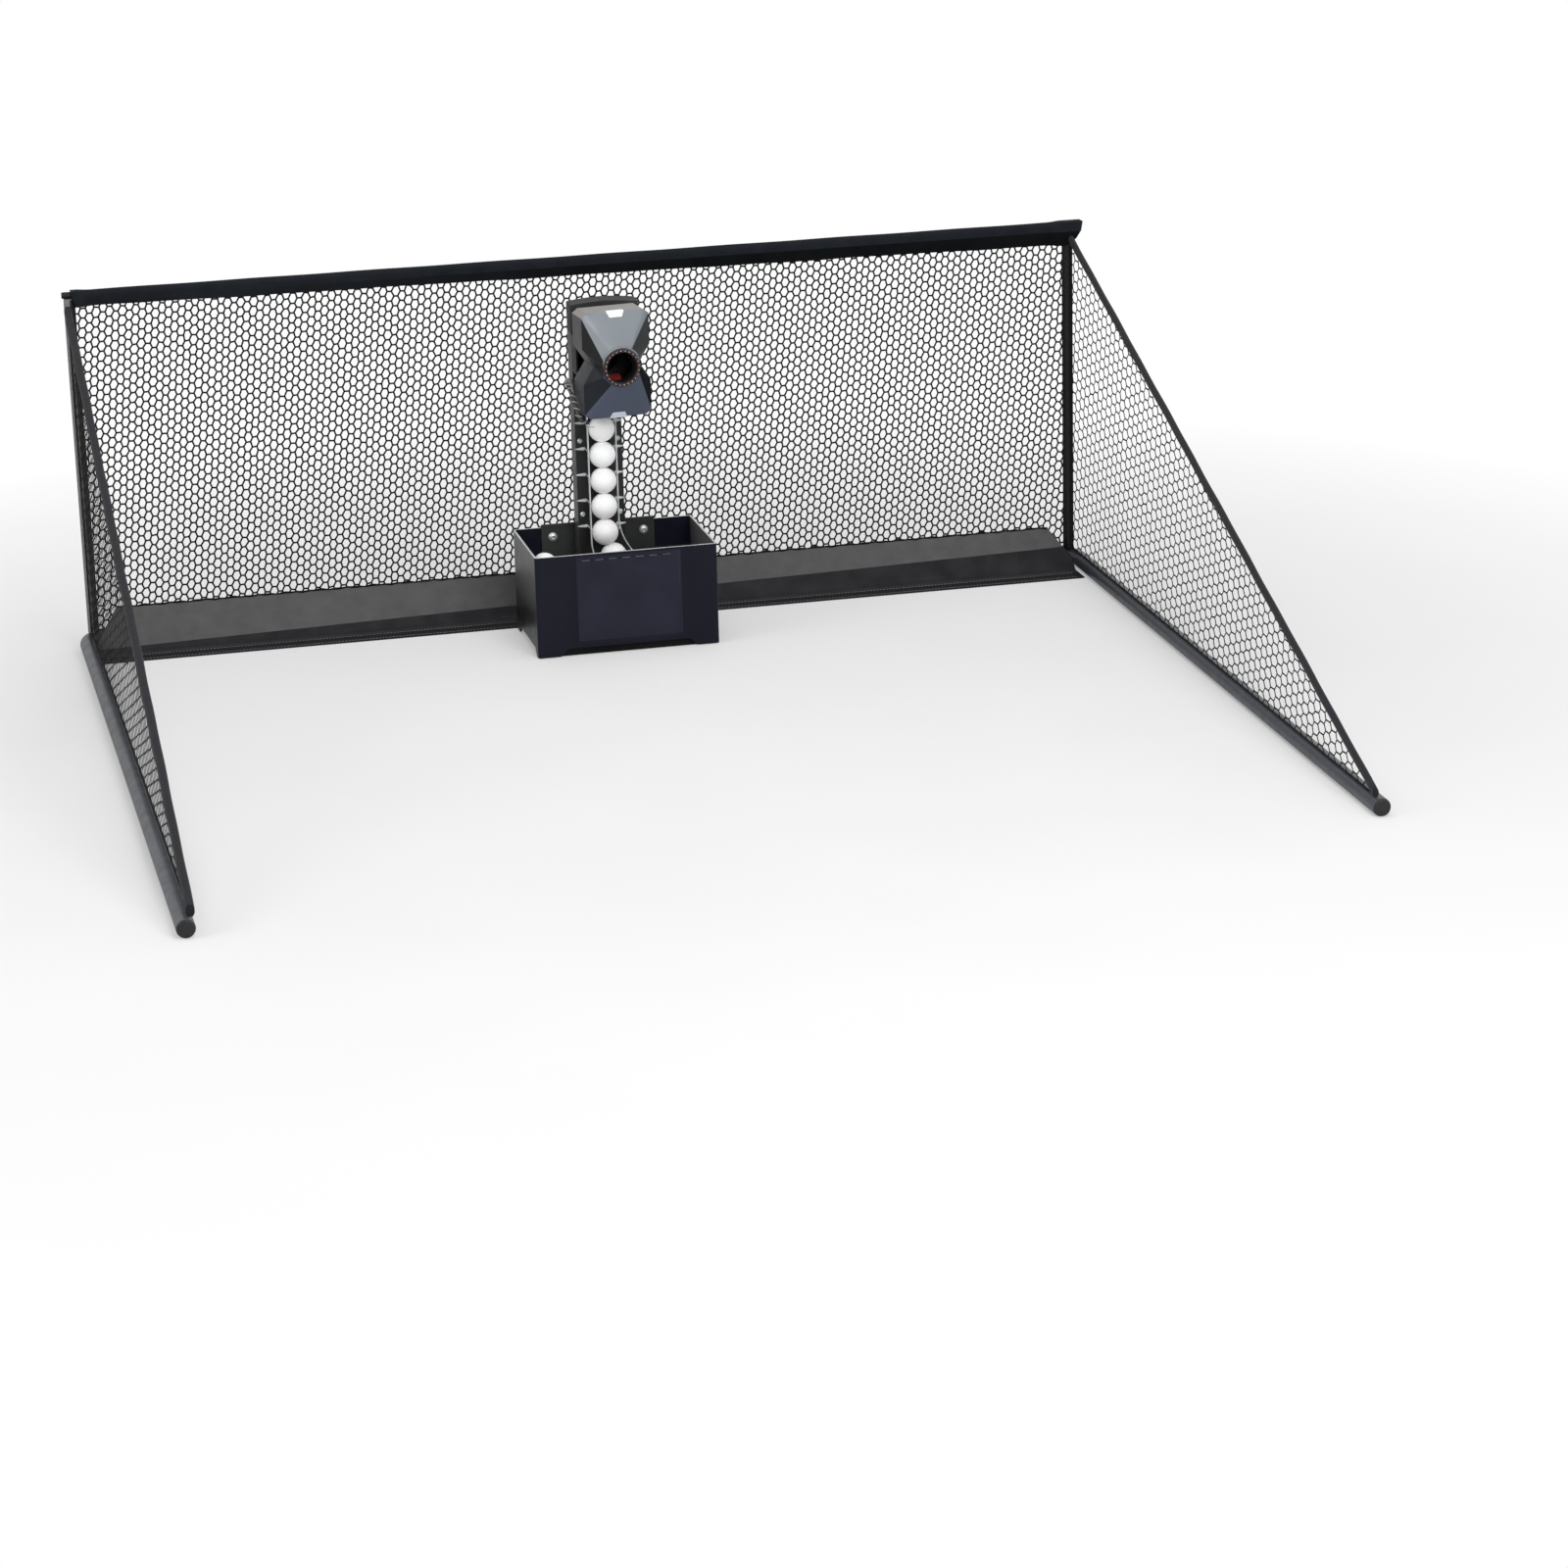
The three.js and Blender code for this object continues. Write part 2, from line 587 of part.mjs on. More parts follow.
/** The sloped floor that leads the balls to the feed wheel. */
function buildFunnel(group) {
  const edge = rectangle(-innerHalf + FUNNEL_GAP, innerFront + FUNNEL_GAP, innerHalf - FUNNEL_GAP,
    innerRear - FUNNEL_GAP);
  const well = rectangle(TOWER_X - guideOuter - SEAT_GAP, feedFront - SEAT_GAP, feedX + feedOuter + SEAT_GAP,
    towerFront + SEAT_GAP);
  const brim = inset(edge, FUNNEL_RIM);
  const floor = loft([
    { outline: well, place: FUNNEL_WELL_Z - FUNNEL_THICKNESS },
    { outline: edge, place: FUNNEL_EDGE_Z - FUNNEL_THICKNESS },
    { outline: edge, place: FUNNEL_EDGE_Z },
  ], 'z').subtract(loft([
    { outline: well, place: FUNNEL_WELL_Z },
    { outline: brim, place: FUNNEL_EDGE_Z },
    { outline: brim, place: FUNNEL_EDGE_Z + CUT_OVERRUN },
  ], 'z')).subtract(prism(well, FUNNEL_WELL_Z - FUNNEL_THICKNESS - CUT_OVERRUN, FUNNEL_EDGE_Z, 'z'))
    .subtract(box(TOWER_X - towerHalf - SEAT_GAP, TOWER_X + towerHalf + SEAT_GAP, towerFront - SEAT_GAP,
      hopperRear, baseTop, HOPPER_RIM_Z))
    .subtract(box(TOWER_X - BRACKET_WIDTH / 2 - SEAT_GAP, TOWER_X + BRACKET_WIDTH / 2 + SEAT_GAP,
      bracketFront - SEAT_GAP, hopperRear, baseTop, HOPPER_RIM_Z));
  addPiece(group, 'hopper_funnel', floor, finishes.blackPlastic());
}

/** The bracket and bolts that tie the tower to the hopper, and the power inlet and switch. */
function buildRearWall(group) {
  let bracket = box(TOWER_X - BRACKET_WIDTH / 2, TOWER_X + BRACKET_WIDTH / 2, bracketFront, bracketRear,
    BRACKET_BOTTOM_Z, BRACKET_TOP_Z);
  const seat = bracketFront - SEAT_GAP;
  const dome = arc(0, 0, 1, -Math.PI / 2, 0, ARC_STEPS)
    .map((point) => [BOLT_HEAD_RADIUS * point.x, seat + BOLT_HEAD_HEIGHT * point.y]);
  const bolt = turned([...dome, [BOLT_SHANK_RADIUS, seat], [BOLT_SHANK_RADIUS, hopperRear], [0, hopperRear]],
    'y', SMALL_SIDES);
  for (const [side, name] of [[-1, 'left'], [1, 'right']]) {
    bracket = bracket.subtract(boltHole(side));
    addPiece(group, `bracket_bolt_${name}`, bolt, finishes.chrome(),
      [TOWER_X + side * boltSpread, 0, BOLT_Z]);
  }
  addPiece(group, 'rear_bracket', bracket, finishes.steel());

  const flange = hopperRear + SEAT_GAP;
  const inlet = turned([[0, hopperRear - INLET_LENGTH], [INLET_RADIUS, hopperRear - INLET_LENGTH],
    [INLET_RADIUS, flange], [INLET_FLANGE_RADIUS, flange], [INLET_FLANGE_RADIUS, flange + INLET_FLANGE],
    [INLET_BORE_RADIUS, flange + INLET_FLANGE], [INLET_BORE_RADIUS, innerRear], [0, innerRear]],
  'y', SMALL_SIDES);
  addPiece(group, 'power_inlet', inlet, finishes.blackPlastic(), [INLET_X, 0, POWER_Z]);

  const tall = SWITCH_HEIGHT / 2 - 2 * SEAT_GAP;
  const deep = HOPPER_WALL / 2 - SEAT_GAP;
  const rocker = [[-deep, -tall], [deep + SWITCH_CREST, -tall], [deep, 0], [deep + SWITCH_CREST, tall],
    [-deep, tall]].map(([u, v]) => new THREE.Vector2(u, v));
  const width = SWITCH_WIDTH - 2 * SEAT_GAP;
  addPiece(group, 'power_switch', prism(rocker, -width / 2, width / 2, 'x'), finishes.blackPlastic(),
    [SWITCH_X, hopperRear - HOPPER_WALL / 2, POWER_Z]);
}

/** The outline of the star wheel: round ball pockets between arms that end on one circle. */
function starOutline() {
  const pocket = BALL_RADIUS + FEED_POCKET_CLEARANCE;
  const mouth = 2 * Math.asin(pocket / (2 * FEED_RADIUS));
  const sweepHalf = Math.acos(pocket / (2 * FEED_RADIUS));
  const pitch = 2 * Math.PI / FEED_POCKETS;
  return upTo(FEED_POCKETS).flatMap((i) => {
    const middle = i * pitch;
    const hollow = arc(FEED_RADIUS * Math.cos(middle), FEED_RADIUS * Math.sin(middle), pocket,
      middle + Math.PI + sweepHalf, middle + Math.PI - sweepHalf, 2 * ARC_STEPS);
    const tip = arc(0, 0, FEED_RADIUS, middle + mouth, middle + pitch - mouth, 2);
    return [...hollow, ...tip.slice(1, -1)];
  });
}

/** The feed: a star wheel in a curved channel, and the gearmotor behind it. */
function buildFeed(group) {
  const at = (u, v) => new THREE.Vector2(u, v);
  const [left, right] = [feedX - feedOuter, feedX + feedOuter];
  const under = arc(feedX, feedZ, feedOuter, Math.PI, 2 * Math.PI, 4 * ARC_STEPS);
  const channel = [at(left, FEED_HOUSING_TOP_Z), ...under,
    ...arc(feedX, feedZ, feedInner, 2 * Math.PI, Math.PI, 4 * ARC_STEPS),
    at(feedX - feedInner, FEED_HOUSING_TOP_Z)];
  const back = [at(left, FEED_HOUSING_TOP_Z), ...under, at(right, FEED_HOUSING_TOP_Z)];
  const front = [...under, ...arc(feedX, feedZ, FEED_BOSS_RADIUS, 0, Math.PI, 2 * ARC_STEPS)];
  const footLean = Math.asin(FEED_FOOT_WIDTH / 2 / feedOuter);
  const foot = [at(feedX - FEED_FOOT_WIDTH / 2, baseTop + SEAT_GAP),
    at(feedX + FEED_FOOT_WIDTH / 2, baseTop + SEAT_GAP),
    ...arc(feedX, feedZ, feedOuter - FEED_HOUSING_WALL / 2, footLean - Math.PI / 2, -footLean - Math.PI / 2,
      ARC_STEPS)];
  const housing = prism(channel, feedFront, feedRear, 'y')
    .add(prism(back, feedRear - FEED_HOUSING_WALL, feedRear, 'y'))
    .add(prism(front, feedFront, feedFront + FEED_HOUSING_WALL, 'y'))
    .add(prism(foot, feedFront, feedRear, 'y'))
    .subtract(rod(FEED_SHAFT_RADIUS + SEAT_GAP, feedFront - CUT_OVERRUN, feedRear + CUT_OVERRUN, 'y',
      feedX, feedZ));
  addPiece(group, 'feed_housing', housing, finishes.blackPlastic());

  const bore = circle(0, 0, FEED_SHAFT_RADIUS + SEAT_GAP);
  addPiece(group, 'feed_wheel', prism(starOutline(), guideY - FEED_WHEEL_THICKNESS / 2,
    guideY + FEED_WHEEL_THICKNESS / 2, 'y', [bore]), finishes.gear(), [feedX, 0, feedZ]);
  const socketEnd = towerFront + FEED_SHAFT_SEAT;
  addPiece(group, 'feed_shaft', rod(FEED_SHAFT_RADIUS, feedFront, socketEnd - SEAT_GAP, 'y', 0, 0),
    finishes.chrome(), [feedX, 0, feedZ]);

  const side = TOWER_X + towerHalf + 2 * SEAT_GAP;
  const middle = towerFront + GEARBOX_DEPTH / 2;
  const gearbox = prism(roundRectangle(side, feedZ - GEARBOX_HEIGHT / 2, side + GEARBOX_WIDTH,
    feedZ + GEARBOX_HEIGHT / 2, GEARBOX_BEVEL, 2), towerFront, towerFront + GEARBOX_DEPTH, 'y')
    .add(rod(FEED_MOTOR_RADIUS, side + GEARBOX_WIDTH - GEARBOX_BEVEL,
      side + GEARBOX_WIDTH + FEED_MOTOR_LENGTH, 'x', middle, feedZ))
    .subtract(rod(FEED_SHAFT_RADIUS + SEAT_GAP, towerFront - CUT_OVERRUN, socketEnd, 'y', feedX, feedZ));
  addPiece(group, 'feed_gearmotor', gearbox, finishes.motor());
}

/** The clear ball guide: two strips, hoops round the front, ears on the tower, and a flared foot. */
function buildGuide(group) {
  const at = (u, v) => new THREE.Vector2(u, v);
  const footInner = feedX - feedInner;
  const leftStrip = [at(TOWER_X - guideOuter, GUIDE_TOP_Z), at(TOWER_X - guideOuter, GUIDE_BEND_Z),
    at(footInner - GUIDE_WALL, GUIDE_BOTTOM_Z), at(footInner, GUIDE_BOTTOM_Z),
    at(TOWER_X - guideBore, GUIDE_BEND_Z), at(TOWER_X - guideBore, GUIDE_TOP_Z)];
  const flare = upTo(2 * ARC_STEPS + 1).map((i) => {
    const share = i / (2 * ARC_STEPS);
    const drop = (GUIDE_FLARE_TOP_Z - GUIDE_FLARE_BOTTOM_Z) * share;
    return at(TOWER_X + guideBore + GUIDE_FLARE * share ** 2, GUIDE_FLARE_TOP_Z - drop);
  });
  const rightStrip = [at(TOWER_X + guideBore, GUIDE_TOP_Z), ...flare,
    ...flare.map((point) => at(point.x + GUIDE_WALL, point.y)).reverse(),
    at(TOWER_X + guideOuter, GUIDE_TOP_Z)];
  const [near, far] = [guideY - GUIDE_STRIP_DEPTH / 2, guideY + GUIDE_STRIP_DEPTH / 2];
  let guide = prism(leftStrip, near, far, 'y').add(prism(rightStrip, near, far, 'y'));

  const seat = towerFront - SEAT_GAP;
  const ear = (side, y) => at(TOWER_X + side * HOOP_EAR_REACH, y);
  const leg = (side, radius, y) => at(TOWER_X + side * radius, y);
  const hoop = [ear(-1, seat - GUIDE_WALL), leg(-1, guideOuter, seat - GUIDE_WALL),
    ...arc(TOWER_X, guideY, guideOuter, Math.PI, 2 * Math.PI, 3 * ARC_STEPS),
    leg(1, guideOuter, seat - GUIDE_WALL), ear(1, seat - GUIDE_WALL), ear(1, seat), leg(1, guideBore, seat),
    ...arc(TOWER_X, guideY, guideBore, 2 * Math.PI, Math.PI, 3 * ARC_STEPS), leg(-1, guideBore, seat),
    ear(-1, seat)];
  for (const i of upTo(GUIDE_BALL_COUNT)) {
    const middle = LOWEST_GUIDE_BALL_Z + i * BALL_SPACING + HOOP_ABOVE_BALL;
    guide = guide.add(prism(hoop, middle - HOOP_HEIGHT / 2, middle + HOOP_HEIGHT / 2, 'z'));
  }
  addPiece(group, 'ball_tube', guide, finishes.clear());
}

/** The balls: a column in the guide, one in the bend below it, and one that lies in the hopper. */
function buildBalls(group) {
  const ball = solid(new THREE.IcosahedronGeometry(BALL_RADIUS, BALL_DIVISION_COUNT));
  const column = upTo(GUIDE_BALL_COUNT).map((i) => [TOWER_X, guideY, LOWEST_GUIDE_BALL_Z + i * BALL_SPACING]);
  const bend = [TOWER_X + FEED_SHIFT, guideY, bendBallZ];
  const slope = (FUNNEL_EDGE_Z - FUNNEL_WELL_Z) / (innerHalf + TOWER_X - guideOuter);
  const floor = FUNNEL_EDGE_Z - slope * (innerHalf + strayX);
  const rise = BALL_RADIUS * Math.hypot(1, slope) + 2 * SEAT_GAP;
  const stray = [strayX, innerFront + STRAY_BALL_FROM_FRONT, floor + rise];
  [bend, ...column, stray].forEach((place, i) => {
    addPiece(group, `ball_${i + 1}`, ball, finishes.ball(), place);
  });
}

/** The tower: a channel with a rear cover and the housing on top, with the board inside. */
function buildTower(group) {
  const at = (u, v) => new THREE.Vector2(TOWER_X + u, v);
  const [half, inner] = [towerHalf, towerHalf - TOWER_WALL];
  const channel = [at(-half, towerFront), at(half, towerFront), at(half, towerRear), at(inner, towerRear),
    at(inner, towerFront + TOWER_WALL), at(-inner, towerFront + TOWER_WALL), at(-inner, towerRear),
    at(-half, towerRear)];
  const bottom = baseTop + SEAT_GAP;
  const slotHalf = Math.sqrt(gearTip ** 2 - guideToTower ** 2) + CUT_OVERRUN / 2;
  const slot = box(TOWER_X - slotHalf, TOWER_X + slotHalf, towerFront - CUT_OVERRUN, towerFront + CUT_OVERRUN,
    gearBottom - SLOT_CLEARANCE, gearTop + SLOT_CLEARANCE);
  addPiece(group, 'tower_column', prism(channel, bottom, TOWER_TOP_Z, 'z').subtract(slot), finishes.steel());

  const coverHalf = inner - SEAT_GAP;
  const coverFront = towerRear - TOWER_WALL;
  addPiece(group, 'tower_rear_cover', box(TOWER_X - coverHalf, TOWER_X + coverHalf, coverFront, towerRear,
    bottom, TOWER_TOP_Z), finishes.steel());

  const right = TOWER_X + half + TOP_HOUSING_OVERHANG;
  const shoulder = TOP_HOUSING_Z + TOP_HOUSING_HEIGHT;
  const arch = upTo(2 * ARC_STEPS + 1).map((i) => {
    const share = i / (2 * ARC_STEPS);
    return new THREE.Vector2(THREE.MathUtils.lerp(right, TOWER_X - half, share),
      shoulder + TOP_HOUSING_ARCH * Math.sin(Math.PI * share));
  });
  addPiece(group, 'top_housing', prism([at(-half, TOP_HOUSING_Z), new THREE.Vector2(right, TOP_HOUSING_Z),
    ...arch], towerFront, towerRear, 'y'), finishes.blackPlastic());

  const boardRear = coverFront - SEAT_GAP;
  const boardFront = boardRear - BOARD_THICKNESS;
  const boardHalf = coverHalf - BOARD_MARGIN;
  let board = box(TOWER_X - boardHalf, TOWER_X + boardHalf, boardFront, boardRear, BOARD_BOTTOM_Z,
    BOARD_BOTTOM_Z + BOARD_HEIGHT);
  for (const i of upTo(BOARD_CHIPS)) {
    const chipZ = BOARD_BOTTOM_Z + BOARD_HEIGHT * (i + 1 / 2) / BOARD_CHIPS;
    const chipX = TOWER_X + (i % 2 ? 1 : -1) * boardHalf / 2;
    board = board.add(box(chipX - BOARD_CHIP / 2, chipX + BOARD_CHIP / 2, boardFront - BOARD_CHIP_HEIGHT,
      boardRear - BOARD_THICKNESS / 2, chipZ - BOARD_CHIP / 2, chipZ + BOARD_CHIP / 2));
  }
  addPiece(group, 'control_board', board, finishes.board());
}

/** The involute of an angle: its tangent less the angle. */
function involute(angle) {
  return Math.tan(angle) - angle;
}

/** The outline of a spur gear with involute flanks, with the middle of one tooth at the given angle. */
function gearOutline(teeth, toothAngle) {
  const pitch = teeth * GEAR_MODULE / 2;
  const base = pitch * Math.cos(PRESSURE_ANGLE);
  const tip = pitch + ADDENDUM_SHARE * GEAR_MODULE;
  const root = pitch - DEDENDUM_SHARE * GEAR_MODULE;
  const start = Math.max(base, root);
  const halfAngle = (radius) => Math.PI / (2 * teeth) - GEAR_BACKLASH / (2 * pitch)
    + involute(PRESSURE_ANGLE) - involute(Math.acos(Math.min(1, base / radius)));
  const flank = upTo(FLANK_STEPS + 1).map((i) => start + (tip - start) * i / FLANK_STEPS)
    .map((radius) => [radius, halfAngle(radius)]);
  if (root < base) flank.unshift([root, halfAngle(base)]);
  return upTo(teeth).flatMap((i) => {
    const middle = toothAngle + 2 * Math.PI * i / teeth;
    const point = (radius, angle) => new THREE.Vector2(radius * Math.cos(angle), radius * Math.sin(angle));
    return [...flank.map(([radius, half]) => point(radius, middle - half)),
      ...flank.map(([radius, half]) => point(radius, middle + half)).reverse()];
  });
}

/** The yaw drive inside the tower: the servo and its pinion, in mesh with the gear on the elbow. */
function buildYawDrive(group) {
  const top = gearBottom - SERVO_GEAR_GAP;
  const [left, right] = [-SERVO_WIDTH + SERVO_SHAFT_FROM_SIDE, SERVO_SHAFT_FROM_SIDE];
  const front = towerFront + TOWER_WALL + SEAT_GAP - pinionY;
  const rear = front + SERVO_DEPTH;
  const wingTop = top - SERVO_WING_DROP;
  const servo = box(left, right, front, rear, top - SERVO_HEIGHT, top)
    .add(box(left - SERVO_WING, right + SERVO_WING, front, rear, wingTop - SERVO_WING_HEIGHT, wingTop))
    .add(rod(SERVO_SHAFT_RADIUS, top - SERVO_WING_DROP, gearTop, 'z', 0, 0, SMALL_SIDES));
  addPiece(group, 'yaw_servo', servo, finishes.blackPlastic(), [TOWER_X, pinionY, 0]);
  const gapBelow = -Math.PI / 2 + Math.PI / PINION_TEETH;
  addPiece(group, 'yaw_pinion', prism(gearOutline(PINION_TEETH, gapBelow), gearBottom, gearTop, 'z',
    [circle(0, 0, SERVO_SHAFT_RADIUS + SEAT_GAP, SMALL_SIDES)]), finishes.gear(), [TOWER_X, pinionY, 0]);
}

/** The bearing block: a ring under an open-fronted box, so that the elbow can swing out to both sides. */
function buildBlock(group) {
  const half = BLOCK_WIDTH / 2;
  const rear = guideToTower - SEAT_GAP;
  const outline = [new THREE.Vector2(half, rear), new THREE.Vector2(-half, rear),
    ...arc(-half + BLOCK_CORNER, -BLOCK_FRONT_REACH + BLOCK_CORNER, BLOCK_CORNER, Math.PI, 3 * Math.PI / 2,
      ARC_STEPS),
    ...arc(half - BLOCK_CORNER, -BLOCK_FRONT_REACH + BLOCK_CORNER, BLOCK_CORNER, 3 * Math.PI / 2, 2 * Math.PI,
      ARC_STEPS)];
  const roof = HEAD_Z + BLOCK_TOP_RISE - BLOCK_ROOF;
  const floor = HEAD_Z - BLOCK_FLOOR_DROP;
  const reach = half + CUT_OVERRUN;
  const block = prism(outline, HEAD_Z - BLOCK_BOTTOM_DROP, HEAD_Z + BLOCK_TOP_RISE, 'z')
    .subtract(rod(ELBOW_RADIUS + SEAT_GAP, HEAD_Z - BLOCK_BOTTOM_DROP - CUT_OVERRUN, roof, 'z', 0, 0))
    .subtract(box(-half + BLOCK_WALL, half - BLOCK_WALL, -reach, rear - BLOCK_REAR_WALL, floor, roof))
    .subtract(box(-reach, reach, -reach, -BLOCK_SIDE_REACH, floor, roof));
  addPiece(group, 'bearing_block', block, finishes.blackPlastic(), [TOWER_X, guideY, 0]);
}

/** The elbow that bends the ball path to the front, and the gear clamped to its stem. */
function buildElbow(group) {
  const stations = [new THREE.Vector3(0, 0, -ELBOW_BOTTOM_DROP),
    ...upTo(ARC_STEPS + 2).map((i) => {
      const angle = Math.PI / 2 * i / (ARC_STEPS + 1);
      return new THREE.Vector3(0, -ELBOW_BEND * (1 - Math.cos(angle)), -ELBOW_BEND * (1 - Math.sin(angle)));
    }), new THREE.Vector3(0, -ELBOW_REACH, 0)];
  let elbow = sweep(stations, ELBOW_RADIUS, ELBOW_RADIUS - ELBOW_WALL);
  for (const side of [-1, 1]) {
    const ends = [side * (ELBOW_RADIUS - ELBOW_WALL / 2), side * TRUNNION_REACH];
    elbow = elbow.add(rod(TRUNNION_RADIUS, Math.min(...ends), Math.max(...ends), 'x', -PITCH_REACH, 0,
      SMALL_SIDES));
  }
  addPiece(group, 'elbow', elbow, finishes.blackPlastic());
  const teeth = gearOutline(GEAR_TEETH, Math.PI / 2 - HEAD_YAW);
  addPiece(group, 'yaw_gear', prism(teeth, -GEAR_TOP_DROP - GEAR_THICKNESS, -GEAR_TOP_DROP, 'z',
    [circle(0, 0, ELBOW_RADIUS + SEAT_GAP)]), finishes.gear());
}

/** An outline that is alike on all four sides, from its points between the right and the top. */
function fourWay(points) {
  const upper = [...points, ...points.map((p) => new THREE.Vector2(-p.x, p.y)).reverse()];
  return [...upper, ...upper.slice(1, -1).map((p) => new THREE.Vector2(p.x, -p.y)).reverse()];
}

/** The outline of the cowls at their shoulder: two broad lobes with a waist between them. */
function cowlOutline() {
  return fourWay([[COWL_WAIST, 0], [COWL_HALF_WIDTH, COWL_WAIST_TOP_Z], [COWL_HALF_WIDTH, COWL_SHOULDER_Z],
    [COWL_HALF_WIDTH - COWL_CHAMFER, COWL_HALF_HEIGHT]].map(([u, v]) => new THREE.Vector2(u, v)));
}

/** The outline of the small flat front round the throat, point for point like the shoulder's. */
function frontOutline() {
  return fourWay([[FRONT_SIDE_X, 0], [FRONT_SIDE_X, FRONT_SIDE_Z], [FRONT_TOP_HALF + FRONT_BEVEL,
    FRONT_TOP_Z - FRONT_BEVEL], [FRONT_TOP_HALF, FRONT_TOP_Z]].map(([u, v]) => new THREE.Vector2(u, v)));
}

/** The two faceted cowls, one thin shell split across the waist, open at the rear. */
function buildCowls(group) {
  const [wide, narrow] = [cowlOutline(), frontOutline()];
  const shell = loft([
    { outline: wide, place: -COWL_REAR_REACH },
    { outline: wide, place: -COWL_SHOULDER_REACH },
    { outline: narrow, place: -COWL_FRONT_REACH },
  ], 'y').subtract(loft([
    { outline: inset(wide, COWL_WALL), place: CUT_OVERRUN - COWL_REAR_REACH },
    { outline: inset(wide, COWL_WALL), place: COWL_WALL / 2 - COWL_SHOULDER_REACH },
    { outline: inset(narrow, COWL_WALL), place: COWL_WALL - COWL_FRONT_REACH },
  ], 'y')).subtract(rod(BARREL_RADIUS + SEAT_GAP, -COWL_FRONT_REACH - CUT_OVERRUN, -COWL_SHOULDER_REACH, 'y',
    0, 0));
  const [reach, gap] = [COWL_HALF_HEIGHT + CUT_OVERRUN, SEAT_GAP / 2];
  const front = -COWL_FRONT_REACH - CUT_OVERRUN;
  const halfSpace = (low, high) => box(-reach, reach, front, 0, low, high);
  addPiece(group, 'upper_cowl', shell.intersect(halfSpace(gap, reach)), finishes.upperCowl());
  addPiece(group, 'lower_cowl', shell.intersect(halfSpace(-reach, -gap)), finishes.lowerCowl());
}

/** The chassis: a plate inside the cowls, two ears back to the trunnions, and a cradle for each motor. */
function buildChassis(group) {
  const at = (u, v) => new THREE.Vector2(u, v);
  const front = -COWL_REAR_REACH - CHASSIS_THICKNESS;
  let chassis = prism(inset(cowlOutline(), COWL_WALL + SEAT_GAP), front, -COWL_REAR_REACH, 'y',
    [circle(0, 0, guideBore)]);
  const bossRadius = EAR_HALF_HEIGHT - SEAT_GAP * 3;
  const ear = [at(front, -EAR_HALF_HEIGHT), ...arc(-PITCH_REACH, 0, bossRadius, -Math.PI / 2, Math.PI / 2,
    2 * ARC_STEPS), at(front, EAR_HALF_HEIGHT)];
  const pivot = circle(-PITCH_REACH, 0, TRUNNION_RADIUS + SEAT_GAP, SMALL_SIDES);
  const cradleReach = -WHEEL_REACH + MOTOR_RADIUS - SEAT_GAP - CRADLE_DEPTH;
  for (const side of [-1, 1]) {
    const span = (near, length) => [Math.min(side * near, side * (near + length)),
      Math.max(side * near, side * (near + length))];
    const cradle = span(MOTOR_NEAR_X + CRADLE_INSET, MOTOR_LENGTH - 2 * CRADLE_INSET);
    chassis = chassis.add(prism(ear, ...span(EAR_INNER_X, EAR_THICKNESS), 'x', [pivot]))
      .add(box(...cradle, cradleReach, -COWL_REAR_REACH - CHASSIS_THICKNESS / 2,
        side * WHEEL_RISE - CRADLE_HALF_HEIGHT, side * WHEEL_RISE + CRADLE_HALF_HEIGHT)
        .subtract(rod(MOTOR_RADIUS + SEAT_GAP, cradle[0] - CUT_OVERRUN, cradle[1] + CUT_OVERRUN, 'x',
          -WHEEL_REACH, side * WHEEL_RISE)));
  }
  addPiece(group, 'head_chassis', chassis, finishes.steel());
}

/** The barrel that leads the ball out between the cowls, and the ring round its mouth. */
function buildThroat(group) {
  const barrel = turned([[BARREL_BORE, -BARREL_REAR_REACH], [BARREL_RADIUS, -BARREL_REAR_REACH],
    [BARREL_RADIUS, -COWL_FRONT_REACH], [BARREL_BORE, -COWL_FRONT_REACH]], 'y');
  addPiece(group, 'throat_barrel', barrel, finishes.blackPlastic());
  const rear = -COWL_FRONT_REACH - SEAT_GAP;
  const front = rear - RING_THICKNESS;
  const ring = turned([[RING_BORE, rear], [RING_RADIUS, rear], [RING_RADIUS, front + RING_BEVEL],
    [RING_RADIUS - RING_BEVEL, front], [RING_BORE + RING_BEVEL, front],
    [RING_BORE, front + RING_BEVEL]], 'y');
  addPiece(group, 'throat_ring', ring, finishes.ring());
}

